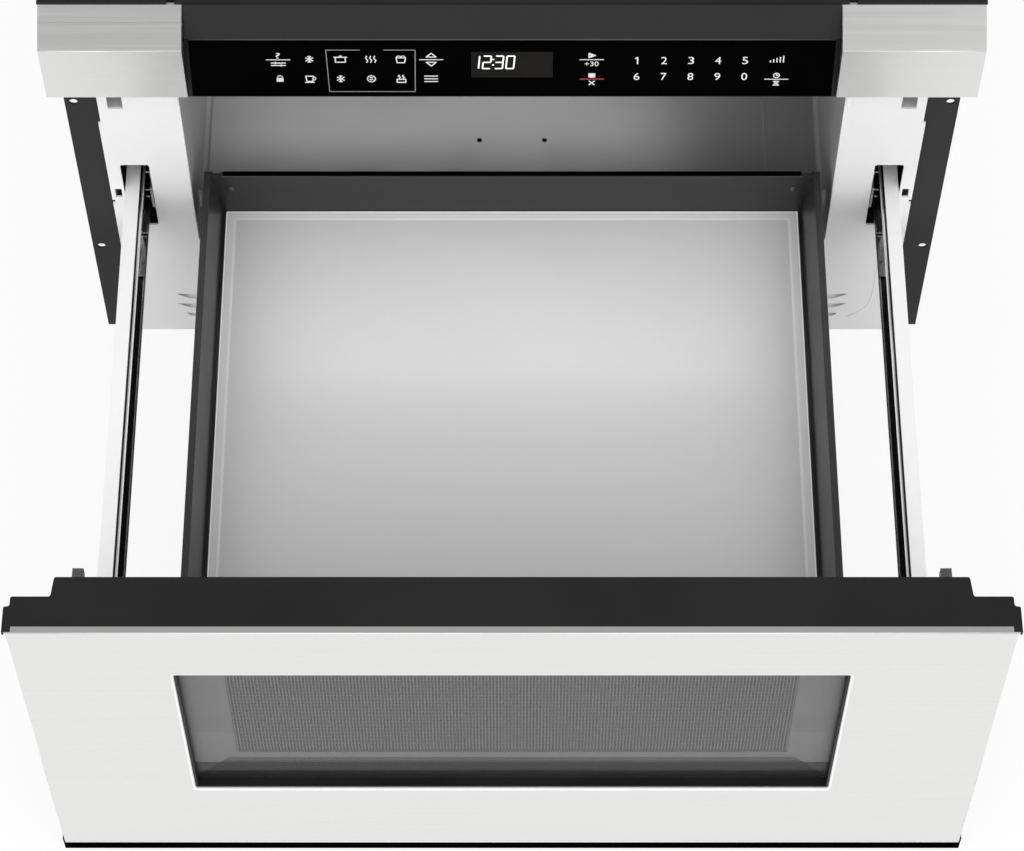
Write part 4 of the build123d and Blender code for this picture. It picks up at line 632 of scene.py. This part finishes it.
def plate_beads():
    """Cut edges of the plate at the oven opening, glossy white as a painted highlight, and the
    pressed rib at its right.
    """
    sink, bead_radius, rib_sink, rib_radius = 0.3, 0.45, 0.6, 0.9
    outset, floor_gap, top_gap = 0.35, 3, 40
    low, high = OVEN_FLOOR + floor_gap, PLATE_HIGH.z - top_gap
    y = PLATE_LOW.y + sink
    parts = []
    for side in (-1, 1):
        x = side * (OVEN_HALF + outset)
        parts.append(tube([(x, y, low), (x, y, high)], bead_radius, FRONT))
    piece("oven_edge_beads", "chassis", white_and_painted_highlight, parts, smooth=True)
    rib = [(263.2, 88.0), (263.4, 60.0), (262.8, 45.0), (260.6, 35.0), (254.9, 26.7),
           (246.1, 20.6)]
    y = PLATE_LOW.y + rib_sink
    piece("plate_pressed_rib", "chassis", white_enamel,
          [tube([(x, y, z) for x, z in rib], rib_radius, FRONT)], smooth=True)


# ---------------------------------------------------------------- fittings
def bumper_pads():
    """White pads beside the oven opening's upper corners."""
    pad_middle, pad_half, pad_bottom, pad_top, corner = OVEN_HALF + 2.2, 1.7, 284.5, 294.0, 0.9
    parts = []
    for side in (-1, 1):
        loops = []
        for inset, depth in ((0.0, 0.3), (0.0, -0.35), (0.35, -0.65)):
            outline = rounded(pad_half - inset, pad_bottom + inset, pad_top - inset,
                              corner - inset / 2)
            y = PLATE_LOW.y + depth
            loops.append([(side * pad_middle + x, y, z) for x, z in outline])
        parts.append(loft(loops))
    piece("bumper_pads", "chassis", white_and_painted_highlight, parts)


def guide_buttons():
    """Oval nylon buttons that keep the tray off the oven's walls."""
    setback, rise, half_length, half_height, height = 27.5, 12.2, 4.6, 11.6, 2.6
    y, z = PLATE_LOW.y + setback, OVEN_FLOOR + rise
    parts = []
    for side in (-1, 1):
        middle = (side * (OVEN_HALF + 0.1), y, z)
        parts.append(dome(middle, (0, half_length, 0), (0, 0, half_height), (-side * height, 0, 0)))
    piece("guide_buttons", "chassis", nylon, parts, smooth=True)


def tray_rivets():
    """Rivet heads on the tray's rear wall."""
    position, level, gap, radius, height = 196.4, 174.0, 0.55, 2.6, 1.3
    y = CERAMIC_HIGH.y + gap
    parts = []
    for x in (-position, position):
        parts.append(dome((x, y, level), (radius, 0, 0), (0, 0, radius), (0, -height, 0)))
    piece("tray_rivets", "drawer", rivet_grey, parts, smooth=True)


def tray_cap():
    """Black lip strip on the tray's rear wall."""
    half, corner = 201.4, 1.4
    front, rear = CERAMIC_HIGH.y + 0.9, CERAMIC_HIGH.y + 4.6
    loops = []
    for inset, lift in ((0.0, -0.3), (0.0, 0.15), (0.25, 0.35)):
        outline = rounded(half - inset, front + inset, rear - inset, corner - inset)
        loops.append([(x, y, TRAY_TOP + lift) for x, y in outline])
    piece("tray_rear_strip", "drawer", black_trim_and_painted_shade, [loft(loops)])


def slide_lips():
    """Rolled lips of the drawer members' open side, white as a painted highlight."""
    outset, end_inset, radius = 0.35, 0.4, 0.5
    low, high = box_mm("slide_drawer_members")
    parts = []
    for side in (-1, 1):
        x = side * (RACE_FACE + outset)
        for z in (low.z + 0.6, high.z - 0.35):
            line = [(x, low.y + end_inset, z), (x, high.y - end_inset, z)]
            parts.append(tube(line, radius, UP_AXIS))
    piece("slide_lip_beads", "drawer", white_and_painted_highlight, parts, smooth=True)


def floor_seam():
    """Welded seam on the oven's floor, right of the middle."""
    x, z, radius, start, end = 183.1, OVEN_FLOOR + 0.1, 0.5, 3.0, 400.0
    line = [(x, PLATE_LOW.y + start, z), (x, PLATE_LOW.y + end, z)]
    piece("oven_floor_seam", "chassis", oven_grey,
          [tube(line, radius, UP_AXIS, sides=8)], smooth=True)


# ---------------------------------------------------------------- legends on the touch glass
def on_glass(x, rise, depth):
    """A point on the touch glass: rise is up the glass, depth is into it."""
    return (x, WING_LOW.y + GLASS_SETBACK + rise * sin(GLASS_TILT) + depth * cos(GLASS_TILT),
            WING_LOW.z + rise * cos(GLASS_TILT) - depth * sin(GLASS_TILT))


PRINT_HALF = 0.03                 # half thickness of the print
PRINT_DEPTHS = (-PRINT_HALF, PRINT_HALF)
DISPLAY_DEPTHS = (DISPLAY_DEPTH - PRINT_HALF, DISPLAY_DEPTH + PRINT_HALF)
PRINT_WIDTH = 0.75
STROKE_OVERRUN = 0.6              # of half a stroke's width, so that strokes join
DIGIT_SLANT = 0.09
UPPER_ROW = 31.4
LOWER_ROW = 15.1
RULE_ROW = 31.1                   # the thin rules between double legends
RULE_HALF = 7.6


def stroke(start, end, width=PRINT_WIDTH, depths=PRINT_DEPTHS):
    """Flat bar between two points of the glass."""
    start, end = Vector(start), Vector(end)
    along = (end - start).normalized() * width / 2
    across = Vector((-along.y, along.x))
    start, end = start - along * STROKE_OVERRUN, end + along * STROKE_OVERRUN
    corners = (start + across, start - across, end - across, end + across)
    return loft([[on_glass(p.x, p.y, depth) for p in corners] for depth in depths])


def drawn(lines, x, rise, width=PRINT_WIDTH):
    """Polylines drawn about a point of the glass."""
    parts = []
    for line in lines:
        places = [(x + px, rise + pr) for px, pr in line]
        parts += [stroke(a, b, width) for a, b in zip(places, places[1:])]
    return parts


def arc(radius, start, end, steps, centre=(0, 0)):
    """Points on an arc between two angles in degrees."""
    angles = [radians(start + (end - start) * i / steps) for i in range(steps + 1)]
    return [(centre[0] + radius * cos(a), centre[1] + radius * sin(a)) for a in angles]


def shut(points):
    """An outline that returns to its first point."""
    return points + points[:1]


def wave(x, low, high):
    """Rising wave of steam or heat."""
    return [(x, low), (x + 0.7, low + (high - low) / 3), (x - 0.7, low + (high - low) * 2 / 3),
            (x, high)]


# Pictograms, as lines about their own middle.
FLAKE = [[(0, -2.6), (0, 2.6)], [(-2.3, -1.3), (2.3, 1.3)], [(-2.3, 1.3), (2.3, -1.3)],
         [(-0.9, 2.4), (0, 1.5), (0.9, 2.4)], [(-0.9, -2.4), (0, -1.5), (0.9, -2.4)]]
CUP = [[(-2.8, 2.2), (-2.2, -2.2), (1.6, -2.2), (2.2, 2.2), (-2.8, 2.2)],
       arc(1.4, -70, 80, 6, (2.2, 0.2)), [(-3.2, -3.0), (2.6, -3.0)]]
LOCK = [[(-2.0, -0.9), (2.0, -0.9)], [(-2.0, -0.3), (2.0, -0.3)], [(-2.0, 0.3), (2.0, 0.3)],
        [(-2.0, -1.5), (2.0, -1.5)], [(-2.0, -2.1), (2.0, -2.1)],
        [(-1.4, 0.5)] + arc(1.4, 180, 0, 8, (0, 1.2)) + [(1.4, 0.5)]]
POT = [[(-3.2, 1.2), (-3.2, -2.4), (3.2, -2.4), (3.2, 1.2)], [(-4.2, 1.7), (4.2, 1.7)],
       [(-0.7, 2.7), (0.7, 2.7)]]
WAVES = [wave(-2.6, -2.6, 2.6), wave(0, -2.6, 2.6), wave(2.6, -2.6, 2.6)]
BAG = [shut([(-2.4, -2.8), (2.4, -2.8), (3.0, 1.2), (-3.0, 1.2)]),
       arc(1.2, 0, 180, 6, (-1.4, 1.6)), arc(1.2, 0, 180, 6, (1.4, 1.6))]
TUBER = [shut(arc(2.6, 0, 330, 11)), [(-0.9, 0.9), (0.9, 0.9)], [(-0.9, -0.7), (0.9, -0.7)]]
STEAM = [shut([(-2.8, -3.0), (2.8, -3.0), (2.8, -0.4), (-2.8, -0.4)]), wave(-1.3, 0.4, 3.0),
         wave(1.3, 0.4, 3.0)]
SLIDERS = [[(-4.6, 0.9), (4.6, 0.9)], [(-4.6, -1.1), (4.6, -1.1)], [(-1.8, 1.6), (-1.8, 0.2)],
           [(1.8, -0.4), (1.8, -1.8)]]
UP = [shut([(-3.2, -1.3), (3.2, -1.3), (0, 1.8)])]
DOWN = [shut([(-3.2, 1.3), (3.2, 1.3), (0, -1.8)])]
MENU = [[(-4.2, 2.3), (4.2, 2.3)], [(-4.2, 0), (4.2, 0)], [(-4.2, -2.3), (4.2, -2.3)]]
PLAY = [shut([(-1.8, -1.8), (-1.8, 1.8), (2.4, 0)]), [(-1.2, 0.9), (0.6, 0)],
        [(-1.2, -0.9), (0.6, 0)]]
SQUARE = [shut([(-1.9, -1.4), (1.9, -1.4), (1.9, 1.4), (-1.9, 1.4)]), [(-1.9, 0), (1.9, 0)],
          [(-1.9, 0.7), (1.9, 0.7)], [(-1.9, -0.7), (1.9, -0.7)]]
CROSS = [[(-1.7, -1.6), (1.7, 1.6)], [(-1.7, 1.6), (1.7, -1.6)]]
LEVELS = [[(-4.2, -2.4), (-4.2, -1.2)], [(-2.1, -2.4), (-2.1, -0.2)], [(0, -2.4), (0, 0.8)],
          [(2.1, -2.4), (2.1, 1.8)], [(4.2, -2.4), (4.2, 2.8)]]
DIAL = [shut(arc(1.9, 0, 324, 9)), [(0, 1.2), (0, 0), (0.9, 0)]]
SANDGLASS = [shut([(-1.8, 1.6), (1.8, 1.6), (-1.8, -1.6), (1.8, -1.6)])]


def numerals(text, x, rise, width, height):
    """Plain numerals from the built-in face, fitted to a place on the glass."""
    curve = bpy.data.curves.new("numeral", "FONT")
    curve.body = text
    curve.extrude = 0.05
    curve.resolution_u = 4
    maker = bpy.data.objects.new("numeral", curve)
    bpy.context.collection.objects.link(maker)
    bpy.context.view_layer.update()
    mesh = bpy.data.meshes.new_from_object(maker)
    xs = [v.co.x for v in mesh.vertices]
    ys = [v.co.y for v in mesh.vertices]
    across, tall = max(xs) - min(xs), max(ys) - min(ys)
    points = []
    for v in mesh.vertices:
        px = x + ((v.co.x - min(xs)) / across - 0.5) * width
        pr = rise + ((v.co.y - min(ys)) / tall - 0.5) * height
        points.append(on_glass(px, pr, PRINT_DEPTHS[0] if v.co.z > 0 else PRINT_DEPTHS[1]))
    faces = [list(polygon.vertices) for polygon in mesh.polygons]
    bpy.data.objects.remove(maker)
    bpy.data.meshes.remove(mesh)
    return points, faces


SEGMENT_ENDS = {"a": ((0, 2), (1, 2)), "b": ((1, 2), (1, 1)), "c": ((1, 1), (1, 0)),
                "d": ((1, 0), (0, 0)), "e": ((0, 0), (0, 1)), "f": ((0, 1), (0, 2)),
                "g": ((0, 1), (1, 1))}
LIT = {"0": "abcdef", "1": "bc", "2": "abdeg", "3": "abcdg"}


def segments(digit, x, rise, width, height):
    """Slanted seven-segment digit; x and rise are its lower left corner."""
    trim, stroke_width = 0.35, 0.95
    parts = []
    for name in LIT[digit]:
        places = []
        for across, level in SEGMENT_ENDS[name]:
            up = level * height / 2
            places.append(Vector((x + across * width + up * DIGIT_SLANT, rise + up)))
        gap = (places[1] - places[0]).normalized() * trim
        parts.append(stroke(places[0] + gap, places[1] - gap, stroke_width, DISPLAY_DEPTHS))
    return parts


def rule(x, rise, half, width):
    """Thin level line between two legends."""
    return stroke((x - half, rise), (x + half, rise), width)


# Each pictogram with its place on the glass: from the middle, and up the glass.
KEYS = ((SLIDERS, -150.8, 27.4), (FLAKE, -130.7, UPPER_ROW), (LOCK, -150.3, LOWER_ROW),
        (CUP, -130.8, LOWER_ROW), (POT, -110.7, UPPER_ROW), (WAVES, -91.1, UPPER_ROW),
        (BAG, -71.7, UPPER_ROW), (FLAKE, -111.0, LOWER_ROW), (TUBER, -91.1, LOWER_ROW),
        (STEAM, -71.7, LOWER_ROW), (UP, -52.1, 34.6), (DOWN, -52.1, 27.6),
        (MENU, -52.4, LOWER_ROW), (PLAY, 51.4, 34.6), (SQUARE, 51.7, 17.9),
        (CROSS, 51.7, 11.6), (LEVELS, 170.9, UPPER_ROW), (DIAL, 171.3, 17.9),
        (SANDGLASS, 171.3, 11.4))
NUMERAL_ONE = [[(-1.1, 1.7), (0.3, 2.6), (0.3, -2.7)]]


def number_keys():
    """Ten numerals in two rows; the first is drawn, since its form in the face is a bar."""
    first, pitch, upper, lower = 80.7, 17.425, 30.4, 17.0
    width, height = 3.8, 5.9
    parts = []
    for i, (above, below) in enumerate(zip("12345", "67890")):
        x = first + pitch * i
        if i:
            parts.append(numerals(above, x, upper, width, height))
        parts.append(numerals(below, x, lower, width, height))
    return parts + drawn(NUMERAL_ONE, first, upper, width=0.9)


def white_legends():
    """Pictograms, rules and numerals in white print."""
    parts = []
    for lines, x, rise in KEYS:
        parts += drawn(lines, x, rise)
    parts.append(numerals("?", -150.8, 34.4, 2.8, 4.6))
    parts.append(numerals("+30", 51.4, 27.6, 9.0, 3.8))
    parts.append(rule(-150.8, 31.0, RULE_HALF, 0.6))
    for x in (-52.1, 51.4):
        parts.append(rule(x, RULE_ROW, RULE_HALF, 0.6))
    parts.append(rule(171.3, 14.7, RULE_HALF, 0.6))
    return parts + number_keys()


def legend_box():
    """Thin grey line round the programs, open at its top."""
    corners = [(-98.0, 39.1), (-119.8, 39.1), (-118.6, 4.3), (-62.9, 4.3), (-62.3, 39.1),
               (-82.6, 39.1)]
    return [stroke(start, end, 0.5) for start, end in zip(corners, corners[1:])]


def clock():
    """Lit digits of the display, with their colon."""
    base, width, height = 23.6, 4.9, 10.4
    parts = []
    for digit, x in (("1", -26.6), ("2", -19.1), ("3", -11.2), ("0", -4.0)):
        parts += segments(digit, x, base, width, height)
    for rise in (26.6, 31.2):
        lean = rise * DIGIT_SLANT / 2
        parts.append(stroke((lean - 13.7, rise), (lean - 13.2, rise), 1.1, DISPLAY_DEPTHS))
    return parts


def legends():
    """All the print on the touch glass, and the lit digits behind it."""
    piece("touch_legends", "chassis", print_white, white_legends())
    piece("touch_legend_box", "chassis", print_grey, legend_box())
    piece("touch_stop_line", "chassis", print_red, [rule(51.7, 14.8, RULE_HALF, 0.8)])
    piece("display_digits", "chassis", lit_segments, clock())


window_bead()
skin_beads()
wing_beads()
housing_beads()
plate_beads()
bumper_pads()
guide_buttons()
tray_rivets()
tray_cap()
slide_lips()
floor_seam()
legends()


# ---------------------------------------------------------------- studio
def white_floor():
    """Pale floor that stays white to the camera and keeps the object's soft shadow."""
    s = Shader("studio_floor")
    s.set(roughness=0.9, specular_ior_level=0.0)
    s.surface.inputs["Base Color"].default_value = (*grey(FLOOR_LEVEL), 1)
    path = s.node("ShaderNodeLightPath")
    white = s.node("ShaderNodeEmission")
    white.inputs["Strength"].default_value = 1.0
    seen = s.node("ShaderNodeMath", operation="ADD", use_clamp=True)
    s.link(path.outputs["Is Camera Ray"], seen.inputs[0])
    s.link(path.outputs["Is Glossy Ray"], seen.inputs[1])
    share = s.node("ShaderNodeMath", operation="MULTIPLY")
    share.inputs[1].default_value = FLOOR_SHARE
    s.link(seen.outputs[0], share.inputs[0])
    mix = s.node("ShaderNodeMixShader")
    s.link(share.outputs[0], mix.inputs["Fac"])
    s.link(s.surface.outputs[0], mix.inputs[1])
    s.link(white.outputs[0], mix.inputs[2])
    s.link(mix.outputs[0], s.output.inputs["Surface"])
    bpy.ops.mesh.primitive_plane_add(size=FLOOR_SIZE, location=(0, 0, -FLOOR_DROP))
    floor = bpy.context.object
    floor.name = "studio_floor"
    floor.data.materials.append(s.material)


def sky():
    """Soft studio: white to the camera, and darker overhead where metal mirrors it."""
    world = bpy.data.worlds.new("studio_sky")
    bpy.context.scene.world = world
    world.use_nodes = True
    tree = world.node_tree
    tree.nodes.clear()
    output = tree.nodes.new("ShaderNodeOutputWorld")
    path = tree.nodes.new("ShaderNodeLightPath")
    backgrounds = []
    for strength in (SKY_STRENGTH, 1.0, 1.0):
        background = tree.nodes.new("ShaderNodeBackground")
        background.inputs["Color"].default_value = (1, 1, 1, 1)
        background.inputs["Strength"].default_value = strength
        backgrounds.append(background)
    soft, mirrored, shown = backgrounds
    direction = tree.nodes.new("ShaderNodeTexCoord")
    split = tree.nodes.new("ShaderNodeSeparateXYZ")
    fade = tree.nodes.new("ShaderNodeMapRange")
    for label, value in (("From Min", 0.1), ("From Max", 0.8), ("To Min", 1.0),
                         ("To Max", OVERHEAD)):
        fade.inputs[label].default_value = value
    tree.links.new(direction.outputs["Generated"], split.inputs[0])
    tree.links.new(split.outputs["Z"], fade.inputs["Value"])
    tree.links.new(fade.outputs["Result"], mirrored.inputs["Strength"])
    white = tree.nodes.new("ShaderNodeMath")
    white.operation = "MAXIMUM"
    tree.links.new(path.outputs["Is Camera Ray"], white.inputs[0])
    tree.links.new(path.outputs["Is Transmission Ray"], white.inputs[1])
    first = tree.nodes.new("ShaderNodeMixShader")
    tree.links.new(path.outputs["Is Glossy Ray"], first.inputs["Fac"])
    tree.links.new(soft.outputs[0], first.inputs[1])
    tree.links.new(mirrored.outputs[0], first.inputs[2])
    second = tree.nodes.new("ShaderNodeMixShader")
    tree.links.new(white.outputs[0], second.inputs["Fac"])
    tree.links.new(first.outputs[0], second.inputs[1])
    tree.links.new(shown.outputs[0], second.inputs[2])
    tree.links.new(second.outputs[0], output.inputs["Surface"])


def lamp(name, place, target, width, depth, energy, spread=180):
    """Area lamp aimed at a target, with its beam's spread in degrees."""
    data = bpy.data.lights.new(name, "AREA")
    data.shape = "RECTANGLE"
    data.size = width
    data.size_y = depth
    data.energy = energy
    data.spread = radians(spread)
    made = bpy.data.objects.new(name, data)
    made.location = place
    made.rotation_euler = (Vector(target) - Vector(place)).to_track_quat("-Z", "Y").to_euler()
    bpy.context.collection.objects.link(made)


def camera():
    """The photograph's camera."""
    data = bpy.data.cameras.new("photo_camera")
    data.sensor_fit = "HORIZONTAL"
    data.sensor_width = SENSOR_MM
    data.lens = FOCAL_PX / IMAGE_WIDTH_PX * SENSOR_MM
    made = bpy.data.objects.new("photo_camera", data)
    made.location = CAMERA_PLACE
    made.rotation_euler = (radians(90 - CAMERA_PITCH), 0, 0)
    bpy.context.collection.objects.link(made)
    bpy.context.scene.camera = made


white_floor()
sky()
lamp("key_light", (1.5, -2.1, 2.2), OBJECT_MIDDLE, SOFTBOX, SOFTBOX, 26)
lamp("fill_light", (-1.5, -2.3, 1.9), OBJECT_MIDDLE, SOFTBOX, SOFTBOX, 24)
lamp("oven_light", (-0.05, 0.13, 0.305), (-0.05, 0.131, 0.12), 0.34, 0.03, 0.13, spread=86)
lamp("mouth_light", (0, -0.080, 0.325), (0, -0.15, 0.146), 0.37, 0.014, 0.09, spread=100)
camera()
bpy.context.scene.view_settings.view_transform = "Standard"
